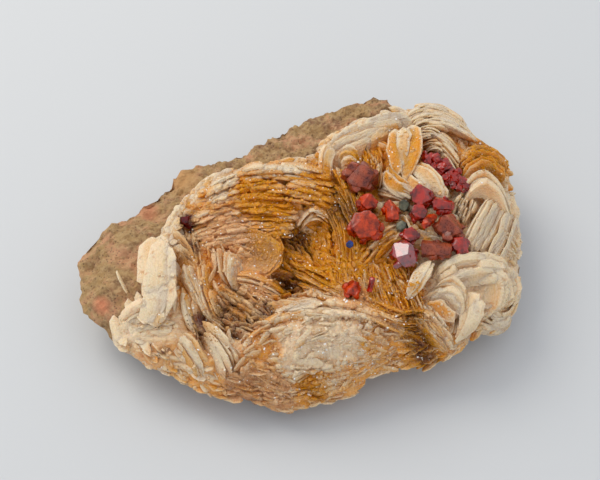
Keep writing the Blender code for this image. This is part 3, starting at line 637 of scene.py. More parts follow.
def grow_sheaves(name, sheaves):
    """One piece of the blades of these sheaves: short ones along each crest, every other row lower."""
    bm = bmesh.new()
    layers = barite_layers(bm)
    for number, sheaf in enumerate(sheaves):
        into = Vector(sheaf.into).normalized()
        first = [sight(place) for place in sheaf.first]
        last = [sight(place) for place in sheaf.last]
        rows = 2 * sheaf.count - 1
        for index in range(rows * sheaf.broken):
            row, part = divmod(index, sheaf.broken)
            seed = number * 31.7 + index * 1.37
            share = (row + 0.7 * (chance(seed, 1) - 0.5)) / max(1, rows - 1)
            share = min(1.0, max(0.0, share))
            stray = Vector([chance(seed, 2, part) - 0.5 for part in range(3)])
            sink = ((0.1 + 0.6 * chance(seed, 3)) * (row % 2) + 0.5 * chance(seed, 11)) * MM
            crest = [above_mass(a.lerp(b, share)) for a, b in zip(first, last)]
            crest = [point + stray * CREST_STRAY + into * sink for point in crest]
            half = (0.38 + 0.55 * chance(seed, 5)) / sheaf.broken
            centre = (part + 0.5 + 0.9 * (chance(seed, 6) - 0.5)) / sheaf.broken
            span = (max(0.0, centre - half), min(1.0, centre + half)) if sheaf.broken > 1 else (0.0, 1.0)
            turn = 0.16 * (chance(seed, 12) - 0.5) * (sheaf.broken > 1) * (crest[2] - crest[0]).length
            sway = crest[0].lerp(crest[2], 0.5) - crest[1] + stray.cross(into) * turn
            crest = [crest[0] + sway * 0.2, crest[1], crest[2] - sway * 0.2]
            thick = sheaf.thick * MM * (0.6 + 0.9 * chance(seed, 7))
            lean = (into + stray * 0.35).normalized()
            sizes = thick, sheaf.depth * MM, lean, sheaf.ragged * MM
            grow_blade(bm, layers, BLADE, crest, span, *sizes, seed, sheaf.open)
    barite_piece(name, bm)


# The book. Amber leaves edge-on along the back left, granular pink-tan leaves under them that meet at a
# dark red hole, and the columns, plates and nubby ridges that lean on them.
BARITE_BOOK = (
    Sheaf("amber_book", ((203, 190, 20.4), (258, 168, 22.8), (326, 178, 22)),
        ((196, 214, 19), (262, 198, 21.5), (340, 214, 20)), 7, 1.3, 6, (0.1, 0.6, -0.75), 1.0, 0, 6),
    Sheaf("tan_pages", ((184, 219, 19), (240, 206, 20.5), (300, 212, 20)),
        ((200, 250, 16.5), (245, 240, 18), (292, 238, 18)), 8, 1.1, 5, (0, 0.7, -0.7), 0.8, 0, 5),
    Sheaf("pink_spokes", ((176, 226, 19.5), (187, 240, 19), (199, 257, 18)),
        ((181, 246, 18), (190, 260, 17.5), (202, 274, 17)), 3, 0.6, 5, (-0.5, -0.1, -0.85), 0.3, 0, 1),
    Sheaf("tan_plate", ((275, 232, 19), (287, 252, 18), (264, 280, 16.5)),
        ((268, 232, 18.5), (278, 252, 17.5), (256, 276, 16)), 4, 0.86, 7, (-0.9, 0.3, -0.3), 0.35, 0, 2),
    Sheaf("columns", ((216, 242, 19.5), (217, 258, 19), (222, 276, 18)),
        ((236, 258, 18.5), (233, 270, 18.3), (230, 286, 17.5)), 4, 0.8, 5, (0.5, 0, -0.85), 0.3, 0.5, 1),
    Sheaf("pink_pages", ((234, 274, 18.5), (258, 278, 18.5), (286, 296, 17)),
        ((236, 292, 16.5), (256, 298, 16.5), (274, 308, 16)), 5, 0.9, 6, (-0.1, 0.6, -0.8), 0.7, 0, 1),
    Sheaf("grey_ridge", ((217, 280, 18), (238, 294, 18), (268, 318, 16.5)),
        ((216, 296, 16.5), (234, 312, 16.5), (258, 326, 15.5)), 3, 1.3, 5, (0.1, 0.2, -1), 0.9, 0, 2),
    Sheaf("tan_slats", ((178, 262, 18.5), (190, 290, 17.5), (206, 318, 16)),
        ((206, 262, 18), (208, 290, 17), (216, 316, 16)), 6, 1.1, 6, (0.35, 0.1, -0.9), 0.5, 0, 2),
    Sheaf("orange_slats", ((178, 284, 17.5), (180, 304, 16.5), (188, 326, 15)),
        ((190, 300, 16.5), (194, 318, 15.5), (202, 336, 14.5)), 3, 1.2, 5, (0.5, -0.2, -0.8), 0.4, 0.5, 1),
    Sheaf("bowl_rim", ((298, 224, 19), (312, 212, 20), (328, 222, 19.5)),
        ((300, 230, 18), (314, 220, 19), (330, 230, 18.5)), 4, 0.69, 5, (0, 0.8, -0.6), 0.3, 0, 2),
)
grow_sheaves("barite_book", BARITE_BOOK)

# The left wall. A cream wing that ends the crust towards the bare rock, its foot, and the pale slats in
# front of it.
BARITE_LEFT = (
    Sheaf("wing", ((176, 219, 21.3), (178, 266, 21), (174, 324, 16.3)),
        ((166, 232, 19.2), (163, 274, 18.2), (154, 318, 15.6)), 3, 1.4, 5, (-0.75, 0.05, -0.6), 0.8, 0.5, 2),
    Sheaf("wing_foot", ((114, 322, 14), (138, 304, 16.8), (164, 316, 15.2)),
        ((128, 344, 10), (152, 336, 12.5), (176, 338, 12)), 4, 1.9, 4.5, (0.1, 0.7, -0.7), 0.6, 0.5, 1),
    Sheaf("needle", ((114, 268, 17.5), (118, 279, 17.5), (123, 289, 16.8)),
        ((115, 268, 17.5), (119, 279, 17.5), (124, 289, 16.8)), 1, 0.5, 1.5, (0.3, 0, -0.95), 0.1, 0.5, 1),
    Sheaf("left_wall", ((142, 346, 11), (178, 346, 13), (214, 364, 12.5)),
        ((156, 368, 8), (192, 380, 8.5), (230, 392, 8)), 4, 1.5, 3, (0.35, 0.5, -0.8), 0.45, 0, 2),
    Sheaf("white_slats", ((209, 316, 17), (226, 332, 17), (244, 356, 14.5)),
        ((206, 334, 15.5), (219, 352, 14.5), (230, 378, 12)), 4, 1.1, 6, (-0.3, 0.3, -0.9), 0.7, 0, 1),
    Sheaf("cream_slats", ((186, 328, 15.5), (198, 342, 15), (212, 366, 12.5)),
        ((176, 336, 14), (188, 352, 13), (200, 374, 11)), 4, 1.1, 6, (-0.3, 0.1, -0.95), 0.5, 0, 1),
)
grow_sheaves("barite_left", BARITE_LEFT)

# The honey bowl. Curved shells of honey barite round a hollow, with long grey-tan blades and a green-honey
# ridge beside it.
BARITE_HONEY = (
    Sheaf("honey_shells", ((318, 198, 20), (334, 235, 19), (332, 290, 17)),
        ((334, 182, 20.5), (356, 232, 19.5), (352, 296, 17)), 12, 0.58, 6, (0.55, 0.2, -0.8), 0.25),
    Sheaf("honey_shelf", ((292, 262, 17), (318, 268, 17), (345, 262, 17.5)),
        ((300, 290, 16), (325, 296, 16.5), (350, 292, 17)), 8, 0.69, 5, (0, 0.6, -0.8), 0.35),
    Sheaf("long_blades", ((302, 266, 18), (350, 290, 18), (402, 312, 17.5)),
        ((296, 282, 16.5), (345, 308, 17), (392, 330, 16.5)), 8, 0.63, 6, (0.3, 0.5, -0.8), 0.35),
    Sheaf("green_ridge", ((352, 264, 18), (372, 240, 20), (402, 222, 20.5)),
        ((360, 270, 18), (382, 246, 20), (408, 228, 20)), 4, 1.15, 5, (0.2, 0.5, -0.85), 0.2),
    Sheaf("honey_fan", ((362, 262, 18.5), (362, 285, 18), (372, 312, 16.5)),
        ((398, 262, 19), (412, 285, 18.5), (424, 312, 17)), 12, 0.69, 6, (0.1, 0.5, -0.85), 0.25),
    Sheaf("honey_slats", ((330, 166, 20.5), (342, 190, 20.5), (352, 225, 19.5)),
        ((348, 172, 20), (360, 200, 20), (366, 214, 19.3)), 8, 0.63, 5, (0.3, 0.3, -0.9), 0.3),
    Sheaf("brown_streaks", ((350, 150, 19.5), (352, 160, 20), (350, 174, 19)),
        ((378, 148, 20), (383, 165, 20.5), (380, 187, 19.5)), 8, 0.69, 5, (0.1, 0.4, -0.9), 0.4),
)
grow_sheaves("barite_honey", BARITE_HONEY)

# The front mound. Thick cream blades weathered to one mass, and the ledges under it.
BARITE_FRONT = (
    Sheaf("mound", ((262, 318, 17.2), (320, 304, 18.6), (392, 318, 17.6)),
        ((262, 326, 16), (322, 316, 17.4), (392, 326, 16.5)), 2, 1.3, 4, (0, 0.7, -0.7), 0.9, 0, 4),
    Sheaf("low_ledge", ((246, 366, 11), (300, 372, 11.5), (362, 364, 11)),
        ((252, 396, 6.5), (290, 402, 6.3), (350, 386, 7)), 5, 1.2, 3, (0, 0.6, -0.8), 0.9, 0, 8),
    Sheaf("olive_corner", ((392, 318, 16.5), (415, 312, 17), (432, 318, 16)),
        ((400, 345, 11), (422, 350, 11), (445, 345, 11)), 8, 0.81, 5, (0, 0.8, -0.6), 0.5),
    Sheaf("lower_slats", ((428, 300, 17), (442, 318, 16), (456, 342, 12)),
        ((414, 316, 16), (430, 335, 14), (448, 352, 10.5)), 8, 0.86, 6, (-0.5, 0.5, -0.7), 0.3),
)
grow_sheaves("barite_front", BARITE_FRONT)

# The rose. Smooth cream petals and fans on the right, round the hollow that holds the vanadinites.
BARITE_RIGHT = (
    Sheaf("upright", ((438, 256, 20.8), (430, 270, 21.6), (419, 293, 18.8)),
        ((441, 260, 20), (434, 272, 21), (424, 293, 18.3)), 2, 0.9, 3.4, (-0.75, -0.1, -0.6), 0.45, 0.8, 1),
    Sheaf("saddle", ((432, 264, 19.6), (465, 250, 20.8), (508, 256, 17.8)),
        ((440, 282, 18.6), (470, 270, 19.4), (506, 270, 17)), 3, 1.9, 4, (-0.1, -0.3, -0.9), 0.5, 0.5, 2),
    Sheaf("low_petals", ((438, 280, 19.4), (456, 276, 20), (470, 296, 18.2)),
        ((430, 298, 17), (446, 300, 17.4), (462, 318, 15.5)), 4, 1.0, 4, (-0.5, -0.2, -0.85), 0.5, 0.7, 1),
    Sheaf("tongue", ((481, 288, 18.4), (481, 312, 16.6), (467, 336, 13)),
        ((486, 294, 17.6), (485, 314, 15.8), (472, 334, 12.6)), 2, 1.2, 4.2,
        (-0.85, -0.3, -0.4), 0.45, 0.5, 1),
    Sheaf("big_petals", ((486, 262, 18.8), (504, 282, 16.7), (494, 314, 13)),
        ((505, 258, 17), (520, 280, 14), (514, 304, 11.3)), 4, 1.3, 5, (-0.85, -0.1, -0.5), 0.6, 0.5, 2),
    Sheaf("rim_petals", ((486, 300, 14), (500, 312, 12.5), (514, 298, 11.5)),
        ((474, 318, 12), (490, 326, 10.5), (510, 316, 9.5)), 4, 1.0, 4, (0, 0.2, -1), 0.4, 0, 2),
    Sheaf("right_fan", ((458, 246, 20.3), (474, 218, 21.4), (488, 192, 20.6)),
        ((496, 262, 17.6), (508, 240, 16.4), (513, 214, 15.6)), 9, 0.95, 5, (0.25, 0.2, -0.95), 0.4, 0.5, 1),
    Sheaf("jagged_tips", ((452, 214, 19.5), (456, 205, 20.5), (462, 196, 21)),
        ((466, 222, 19.5), (472, 210, 20.5), (474, 200, 20.5)), 4, 0.63, 5, (0.1, 0.3, -0.9), 0.5),
    Sheaf("right_edge", ((498, 232, 18), (512, 236, 16), (518, 252, 13)),
        ((494, 255, 17.5), (508, 255, 15.5), (517, 265, 12.5)), 4, 0.86, 5, (-0.6, 0.4, -0.7), 0.35),
)
grow_sheaves("barite_right", BARITE_RIGHT)

# The back rim. Translucent cream arches and tall leaves with white rims, stained orange between.
BARITE_BACK = (
    Sheaf("white_arch", ((461, 185, 21), (486, 169, 22.3), (513, 204, 17.8)),
        ((466, 190, 20.5), (488, 178, 21.3), (512, 209, 17.4)), 2, 1.8, 4, (0, -0.3, -0.95), 0.45, 0.5, 1),
    Sheaf("orange_face", ((458, 147, 20), (482, 143, 20.3), (507, 160, 17.3)),
        ((466, 168, 21), (488, 162, 21), (508, 178, 18.3)), 6, 0.8, 4, (-0.1, -0.5, -0.85), 0.45, 0, 2),
    Sheaf("back_rim", ((404, 113, 18), (432, 106, 18.5), (468, 128, 17)),
        ((410, 128, 20.5), (440, 124, 21), (480, 146, 19.5)), 8, 1.15, 6, (0, 0.5, -0.85), 0.35, 0, 2),
    Sheaf("back_fan", ((424, 128, 21), (440, 132, 21.5), (458, 150, 20.5)),
        ((428, 150, 20.5), (442, 150, 21), (460, 176, 20)), 8, 0.86, 6, (-0.2, 0.6, -0.75), 0.3, 0, 2),
    Sheaf("left_slats", ((385, 126, 22.3), (384, 150, 22.8), (390, 172, 21.4)),
        ((400, 124, 22.5), (398, 148, 22.6), (401, 168, 21.3)), 2, 0.9, 3.4, (0.9, -0.2, -0.4), 0.35, 1, 1),
    Sheaf("right_slats", ((424, 122, 22.7), (425, 146, 23.2), (413, 180, 21.2)),
        ((413, 124, 22.5), (412, 146, 22.8), (404, 174, 21)), 2, 1.0, 3.6, (-0.9, -0.1, -0.4), 0.35, 1, 1),
    Sheaf("slat_foot", ((390, 158, 22.3), (399, 170, 22), (416, 181, 20.8)),
        ((386, 168, 21.5), (396, 180, 21.3), (412, 190, 20.2)), 2, 0.8, 3.0, (-0.3, -0.6, -0.7), 0.45, 1, 1),
    Sheaf("leaves", ((421, 157, 21.8), (440, 170, 22.1), (454, 198, 19.8)),
        ((408, 172, 21.3), (424, 184, 21.5), (440, 200, 19.7)), 4, 0.8, 3.2, (-0.6, -0.5, -0.6), 0.45, 1, 1),
    Sheaf("low_leaves", ((384, 184, 20.5), (402, 186, 21.5), (420, 200, 20)),
        ((380, 194, 19.5), (396, 198, 20), (410, 206, 19)), 4, 0.86, 5, (0.1, 0.7, -0.7), 0.15, 0.5, 1),
    Sheaf("arch_ridge", ((326, 140, 20.5), (364, 118, 22.3), (413, 112, 21.5)),
        ((326, 156, 19.5), (362, 138, 21.3), (388, 128, 21.5)), 6, 1.3, 4.5, (0, -0.4, -0.9), 0.45, 0, 2),
    Sheaf("cream_knob", ((338, 146, 21), (348, 142, 21.6), (358, 152, 21)),
        ((340, 156, 20.5), (350, 154, 21), (356, 162, 20.3)), 3, 1.1, 3, (0, -0.5, -0.85), 0.2, 0.5, 1),
    Sheaf("white_sliver", ((323, 141, 21.6), (317, 157, 21.4), (319, 178, 19.7)),
        ((325, 146, 21), (322, 157, 20.9), (322, 174, 19.5)), 2, 0.7, 2.2, (0.8, -0.2, -0.5), 0.25, 0.5, 1),
    Sheaf("druse_leaf", ((404, 214, 21.6), (407, 221, 22), (411, 229, 21.4)),
        ((406, 214, 21.4), (409, 221, 21.8), (412, 229, 21.2)), 1, 0.8, 2.5, (0.5, 0, -0.85), 0.2, 0.5, 1),
    Sheaf("druse_floor", ((390, 198, 20.3), (425, 207, 20.2), (458, 212, 20.3)),
        ((388, 238, 20.1), (425, 238, 20), (460, 254, 19.7)), 7, 0.6, 3, (0, -0.3, -1), 0.4, 0, 6),
)
grow_sheaves("barite_back", BARITE_BACK)

# Small blades. Between and on the sheaves the crust bristles with blades a few millimetres long, which run
# as the sheaves beside them do. Fewer stand where the barite is pale and smooth.
BLADELET_COUNT = 2400
BLADELET_DEPTH = 2.2 * MM
BLADELET_RAGGED = 0.3 * MM
# Fixed steps of angle and of area, which spread any number of places evenly over the crust.
SPREAD = 0.7548776662, 0.5698402910
crust_middle, crust_angles, crust_reaches, crust_heights = CRUST_POLAR


def crust_spot(angle, share):
    """Where on the crust this share of the way out at this angle is, and the height of the rim there."""
    reach = around(angle, crust_angles, crust_reaches) * share
    rim = around(angle, crust_angles, crust_heights)
    return crust_middle.x + reach * math.cos(angle), crust_middle.y + reach * math.sin(angle), rim


bm = bmesh.new()
layers = barite_layers(bm)
for index in range(BLADELET_COUNT):
    angle = 2 * math.pi * (index * SPREAD[0] % 1) - math.pi
    share = 0.99 * math.sqrt(index * SPREAD[1] % 1)
    x, y, rim = crust_spot(angle, share)
    middle = Vector((x, y, crust_top(x, y, rim, share)))
    _, pale, _, _, flow = stain_and_shade_at(middle)
    if chance(index, 7) < 1.25 * pale * (1 - 0.55 * close_to(seen_at(middle), *MOUND)):
        continue
    turn = math.radians(flow + 50 * (chance(index, 1) - 0.5))
    run = Vector((math.cos(turn), -math.sin(turn) / math.sin(SIGHT_TILT), 0)).normalized()
    run *= (0.8 + 2.2 * chance(index, 2) ** 2) * MM
    rise = Vector((0, 0, (0.1 + 0.8 * chance(index, 3)) * (1 - share**4) * MM))
    into = Vector((chance(index, 4) * 1.2 - 0.6, chance(index, 5) * 1.2 - 0.8, -1))
    into = (into + (crust_middle - middle) / crust_reaches.mean() * share**4).normalized()
    crest = middle - run + rise * 0.6, middle + rise, middle + run + rise * 0.5
    sizes = (0.35 + 0.75 * chance(index, 6)) * MM, BLADELET_DEPTH, into, BLADELET_RAGGED
    grow_blade(bm, layers, BLADELET, crest, (0, 1), *sizes, index * 0.77)
barite_piece("barite_bladelets", bm)

# Broken rim. Stubs of barite blades along the crust's outer line, where the specimen was broken from its
# vein. They lie flat in the break and point inwards.
STUB_COUNT = 460
STUB_DEPTH = 2.0 * MM
STUB_FROM, STUB_BAND = 0.9, 0.1
STUB_PROUD = 0.15 * MM
bm = bmesh.new()
layers = barite_layers(bm)
for index in range(STUB_COUNT):
    angle = 2 * math.pi * index / STUB_COUNT - math.pi
    share = STUB_FROM + STUB_BAND * chance(index, 1)
    x, y, rim = crust_spot(angle, share)
    sunk = chance(index, 2) * (share - STUB_FROM) / STUB_BAND
    height = crust_top(x, y, rim, share) * (1 - sunk) + crust_bottom(x, y, rim, share) * sunk
    inward = Vector((-math.cos(angle), -math.sin(angle), -0.2)).normalized()
    tangent = Vector((-math.sin(angle), math.cos(angle), 0.8 * (chance(index, 3) - 0.5))).normalized()
    half = tangent * (1.0 + 2.6 * chance(index, 4)) * MM
    middle = Vector((x, y, height)) - inward * STUB_PROUD
    into = (inward + Vector((0, 0, 0.8 * (chance(index, 6) - 0.5)))).normalized()
    crest = middle - half, middle - inward * 2 * STUB_PROUD, middle + half
    sizes = (0.3 + 0.5 * chance(index, 5)) * MM, STUB_DEPTH, into, BLADELET_RAGGED
    grow_blade(bm, layers, BLADELET, crest, (0, 1), *sizes, index * 1.13)
barite_piece("barite_stubs", bm)

# Sugar. Barite grains a few tenths of a millimetre across coat all but the smoothest blades, and glint.
# Each lies where a line from above or from the side first meets the blades.
GRAIN_BATCH = 250
GRAIN_WAYS = (0, 0, -1), (0, 0.6, -0.8), (0.6, 0.2, -0.75), (-0.6, 0.2, -0.75)
GRAIN_START = 100 * MM
whole = bmesh.new()
for piece in coated_pieces:
    whole.from_mesh(piece.data)
surface = BVHTree.FromBMesh(whole)
whole.free()


def grow_grains(name, count, seed, least, most, material=barite):
    """One piece of so many grains, from least to most millimetres across."""
    bm = bmesh.new()
    barite_layers(bm)
    spare = bpy.data.meshes.new("grains")
    for batch in range(0, count, GRAIN_BATCH):
        few = bmesh.new()
        few_layers = barite_layers(few)
        for index in range(batch, batch + GRAIN_BATCH):
            angle = 2 * math.pi * ((index + seed) * SPREAD[0] % 1) - math.pi
            reach = around(angle, crust_angles, crust_reaches) * math.sqrt((index + seed) * SPREAD[1] % 1)
            way = Vector(GRAIN_WAYS[index % len(GRAIN_WAYS)]).normalized()
            aim = Vector((crust_middle.x, crust_middle.y, 0.5 * CRUST_PLATEAU))
            aim += Vector((math.cos(angle), math.sin(angle), 0)) * reach
            point = surface.ray_cast(aim - way * GRAIN_START, way)[0]
            if point is None:
                continue
            amber, pale, pink, dark, _ = stain_and_shade_at(point)
            if pale * (1 - close_to(seen_at(point), *MOUND)) > 0.25 + 0.6 * chance(index, seed, 2):
                continue
            parts = [chance(index, seed, 3 + part) for part in range(7)]
            scale = Matrix.Diagonal((0.5 + parts[0], 0.5 + parts[1], 0.5 + parts[2], 1))
            turned = Vector([part - 0.5 for part in parts[3:6]]).to_track_quat("Z", "Y").to_matrix().to_4x4()
            where = Matrix.Translation(point) @ turned @ scale
            size = (least + (most - least) * parts[6] ** 2) * MM
            for vertex in bmesh.ops.create_cube(few, size=size, matrix=where)["verts"]:
                # A grain takes the stain and the painted shade of the barite where it lies.
                vertex[few_layers[0]] = (amber, pale + 0.25 * parts[0] - 0.15, pink + 0.05, dark)
                vertex[few_layers[1]] = point / MM
        few.to_mesh(spare)
        few.free()
        bm.from_mesh(spare)
    bpy.data.meshes.remove(spare)
    barite_piece(name, bm, material)


grow_grains("fine_sugar", 9000, 0, 0.12, 0.3)
grow_grains("coarse_sugar", 1500, 9000, 0.25, 0.6)
# White grains: barite grains with fresh smooth faces that glint where the light falls on them, and whose
# near-white colour is painted glint as well. Some keep a trace of iron and look creamy.
painted_glint, tree, shader = new_material("painted_glint_barite_grains")
place = add(tree, "TexCoord", out="Object")
trace = add(tree, "TexNoise", Vector=place, Scale=1 / (1.2 * MM), Detail=2.0)
colour = add(tree, "ValToRGB", Fac=trace, stops=((0.5, "#FFFDF6"), (0.66, "#F6E3C4")))
smooth = add(tree, "MapRange", Value=trace, From_Min=0.3, From_Max=0.7, To_Min=0.06, To_Max=0.2)
wire(shader, Base_Color=colour, Roughness=smooth, IOR=1.64)
grow_grains("glint_sugar", 750, 12000, 0.12, 0.34, painted_glint)

# Vanadinite crystals. Short hexagonal prisms with flat ends, grown in the barite's hollow. Each stands in
# for the solid of its name: the same prism with stepped, bevelled and slightly uneven faces.
# A crystal is its node and the middle of it, its width and length in millimetres, its axis, and its turn
# about that in degrees. Then come faces where it broke or grew against another: the way each looks, and
# how far out it lies, as a share of half the crystal's width.
Crystal = namedtuple("Crystal", "name middle width length axis turn cuts", defaults=((),))
CRYSTALS = (
    Crystal("vanadinite_great", (360, 176, 21.6), 5.4, 3.4, (-0.35, -0.35, 0.87), 10,
        (((-0.75, 0.55, 0.35), 0.5), ((0.25, -0.75, 0.6), 0.75))),
    Crystal("vanadinite_bright", (367, 202, 20.9), 3.0, 2.6, (0.2, -0.4, 0.9), 25,
        (((0.4, -0.5, 0.75), 0.6), ((-0.6, 0.2, 0.75), 0.7))),
    Crystal("vanadinite_tall", (391, 211, 21.4), 2.7, 3.9, (-0.1, 0.9, 0.4), 0,
        (((-0.6, -0.2, 0.75), 0.6), ((0.7, 0.3, 0.6), 0.7))),
    Crystal("vanadinite_plate", (366, 226, 21.4), 5.2, 3.2, (-0.25, -0.25, 0.93), 20,
        (((-0.1, -0.45, 0.88), 0.5), ((0.8, 0.5, 0.3), 0.85))),
    Crystal("vanadinite_back_pair", (422, 196, 21.6), 3.7, 3.4, (-0.4, -0.2, 0.9), 0,
        (((-0.5, -0.4, 0.75), 0.5), ((0.6, -0.1, 0.8), 0.6))),
    Crystal("vanadinite_back_rod", (443, 204, 21.2), 3.0, 3.4, (0.85, -0.2, 0.45), 15,
        (((-0.2, -0.5, 0.85), 0.6), ((0.2, 0.6, 0.8), 0.5))),
    Crystal("vanadinite_stick", (429, 221, 22.0), 1.7, 4.4, (-0.4, -0.75, 0.5), 0),
    Crystal("vanadinite_shaded", (418, 214, 20.4), 3.0, 2.4, (0.1, -0.2, 0.97), 10),
    Crystal("vanadinite_right", (450, 226, 21.3), 4.6, 3.4, (0.3, -0.3, 0.9), 5,
        (((-0.45, -0.5, 0.75), 0.45), ((0.6, 0.3, 0.75), 0.5))),
    Crystal("vanadinite_small", (409, 236, 20.9), 2.8, 2.4, (0.1, -0.3, 0.95), 30),
    Crystal("vanadinite_mirror", (405, 254, 21.1), 4.1, 4.0, (0.45, -0.75, 0.5), 20,
        (((-0.30, -0.08, 0.95), 0.55), ((-0.1, -0.75, 0.65), 0.7), ((0.6, -0.2, 0.75), 0.66))),
    Crystal("vanadinite_log", (436, 249, 21.0), 3.2, 5.6, (0.96, -0.1, 0.1), 0,
        (((0.1, 0.5, 0.85), 0.6), ((-0.1, -0.6, 0.8), 0.65))),
    Crystal("vanadinite_end", (460, 245, 20.5), 3.1, 2.8, (0.4, -0.6, 0.7), 15,
        (((-0.3, -0.3, 0.9), 0.5), ((0.7, -0.2, 0.7), 0.6))),
    Crystal("vanadinite_low", (352, 288, 18.9), 2.9, 2.2, (0.1, -0.5, 0.85), 0,
        (((-0.6, 0.3, 0.7), 0.4), ((0.6, -0.2, 0.75), 0.5))),
    Crystal("vanadinite_splinter", (371, 285, 19.2), 1.1, 2.6, (0.2, 0.6, 0.75), 0),
    Crystal("vanadinite_in_hole", (187, 222, 17.0), 2.4, 2.6, (0.7, -0.3, 0.6), 0),
    Crystal("coated_upper", (404, 206, 20.4), 2.2, 2.2, (-0.1, -0.4, 0.9), 12),
    Crystal("coated_lower", (402, 227, 20.4), 2.0, 2.2, (-0.3, -0.3, 0.9), 40),
    Crystal("blue_grain", (350, 244.5, 20.4), 1.3, 1.1, (0, -0.5, 0.85), 0),
)
CRYSTAL_SIDES = 6
CHIP_COUNT = 4
FACE_RELIEF, FACE_RELIEF_SIZE = 0.24 * MM, 0.9 * MM


def prism(width, length, axis, turn, seed, cuts=()):
    """A hexagonal prism about the origin with a growth step, chipped corners and uneven faces."""
    radius = width * MM / 2 / math.cos(math.pi / CRYSTAL_SIDES)
    tall = length * MM
    bm = bmesh.new()
    ends = {"radius1": radius, "radius2": radius, "depth": tall}
    bmesh.ops.create_cone(bm, cap_ends=True, segments=CRYSTAL_SIDES, **ends)
    for vertex in bm.verts:
        vertex.co.x *= 1 + 0.16 * (chance(seed, vertex.co.x) - 0.5)
        vertex.co.z *= 1 + 0.1 * (chance(seed, vertex.co.y) - 0.5)
    top = max(bm.faces, key=lambda face: face.calc_center_median().z)
    bmesh.ops.inset_region(bm, faces=[top], thickness=radius * 0.13)
    shift = radius * 0.1 * (chance(seed, 2) - 0.5)
    bmesh.ops.translate(bm, verts=top.verts[:], vec=(shift, -shift, 0.05 * tall))
    for chip in range(CHIP_COUNT):
        around_axis = 2 * math.pi * chance(seed, chip, 5)
        out = Vector((math.cos(around_axis), math.sin(around_axis), 0.6 + chance(seed, chip, 6)))
        corner = Vector((math.cos(around_axis) * radius, math.sin(around_axis) * radius, tall / 2))
        cut_face(bm, corner * (0.82 + 0.12 * chance(seed, chip, 7)), out)
    lean = Vector(axis).normalized().to_track_quat("Z", "Y").to_matrix().to_4x4()
    bmesh.ops.transform(bm, matrix=lean @ Matrix.Rotation(turn, 4, "Z"), verts=bm.verts)
    for way, share in cuts:
        way = Vector(way).normalized()
        cut_face(bm, way * share * radius, way)
    bevel = {"offset": 0.04 * radius, "segments": 1, "profile": 0.5, "affect": "EDGES", "material": -1}
    bmesh.ops.bevel(bm, geom=bm.edges[:], **bevel)
    bmesh.ops.triangulate(bm, faces=bm.faces)
    bmesh.ops.subdivide_edges(bm, edges=bm.edges[:], cuts=2)
    bmesh.ops.triangulate(bm, faces=bm.faces)
    for vertex in bm.verts:
        vertex.co += vertex.co.normalized() * FACE_RELIEF * lumpy(vertex.co, FACE_RELIEF_SIZE, seed)
    return bm


def joined(bm, others):
    """The first mesh with copies of the others, which are freed."""
    spare = bpy.data.meshes.new("spare")
    for other in others:
        other.to_mesh(spare)
        other.free()
        bm.from_mesh(spare)
    bpy.data.meshes.remove(spare)
    return bm


YOUNG_COUNT = 5
YOUNG_FROM = 2.5


def crystal_piece(crystal, material, slot):
    """A crystal, and on the foot of one that is wide enough smaller ones, as twins and stubs."""
    seed = crystal.middle[0] * 0.37
    sizes = crystal.width, crystal.length, crystal.axis, math.radians(crystal.turn)
    bm = prism(*sizes, seed, crystal.cuts)
    young = []
    for index in range(YOUNG_COUNT if crystal.width > YOUNG_FROM else 0):
        parts = [chance(seed, index, part) for part in range(6)]
        width = crystal.width * (0.2 + 0.25 * parts[0])
        stray = Vector((parts[1] - 0.5, parts[2] - 0.5, parts[3] - 0.3))
        axis = Vector(crystal.axis).normalized() + stray * 1.4
        one = prism(width, 1.3 * width, axis, 6 * parts[4], seed + index)
        around_foot = 2 * math.pi * (index + 0.6 * parts[5]) / YOUNG_COUNT
        out = Vector((math.cos(around_foot), math.sin(around_foot), -0.25 - 0.3 * parts[2]))
        bmesh.ops.translate(one, verts=one.verts, vec=out * crystal.width * 0.5 * MM)
        young.append(one)
    bm = joined(bm, young)
    bmesh.ops.translate(bm, verts=bm.verts, vec=sight(crystal.middle))
    bmesh.ops.recalc_face_normals(bm, faces=bm.faces)
    piece = new_piece(crystal.name + "_crystal", bm, material)
    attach(piece, "root")
    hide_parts(crystal.name)


def vanadinite_material(name, deep, bright, roughness, dusty, shine):
    """Vanadinite bends light strongly, so even a dull face has a hard glint; dust dulls its top faces."""
    material, tree, shader = new_material(name)
    place = add(tree, "TexCoord", out="Object")
    cloud = add(tree, "TexNoise", Vector=place, Scale=1 / (1.4 * MM), Detail=3.0, Roughness=0.6)
    fine = add(tree, "TexNoise", Vector=place, Scale=1 / (0.35 * MM), Detail=2.0, Roughness=0.6)
    colour = add(tree, "ValToRGB", Fac=cloud, stops=((0.36, deep), (0.6, bright)))
    up = add(tree, "SeparateXYZ", out="Z", Vector=add(tree, "NewGeometry", out="Normal"))
    lying = add(tree, "MapRange", Value=up, From_Min=0.6, From_Max=0.95)
    dust = add(tree, "Math", {"operation": "MULTIPLY"}, _0=lying, _1=dusty)
    colour = add(tree, "Mix", COLOURS, 2, _0=dust, _6=colour, _7="#B0603C")
    spread = {"From_Min": 0.3, "From_Max": 0.8, "To_Min": roughness, "To_Max": roughness + 0.2}
    rough = add(tree, "MapRange", Value=fine, **spread)
    relief = add(tree, "Bump", Height=fine, Strength=0.4 * roughness + 0.04, Distance=0.15 * MM)
    wire(shader, Base_Color=colour, Roughness=rough, IOR=2.2, Specular_IOR_Level=shine, Normal=relief)
    wire(shader, Subsurface_Weight=0.25, Subsurface_Radius=(1.0, 0.15, 0.05), Subsurface_Scale=0.8 * MM)
    return material


# Faces as they grew, clean and glossy over a deep red body.
glossy = vanadinite_material("glossy_red_vanadinite", "#620602", "#B41E04", 0.08, 0.05, 0.22)
# Thin crystals let more light through and look orange; on the well lit ones the paler orange is painted
# light. Dust lies on their tops.
orange = vanadinite_material("orange_red_vanadinite", "#6E0C00", "#CC3A00", 0.12, 0.2, 0.12)
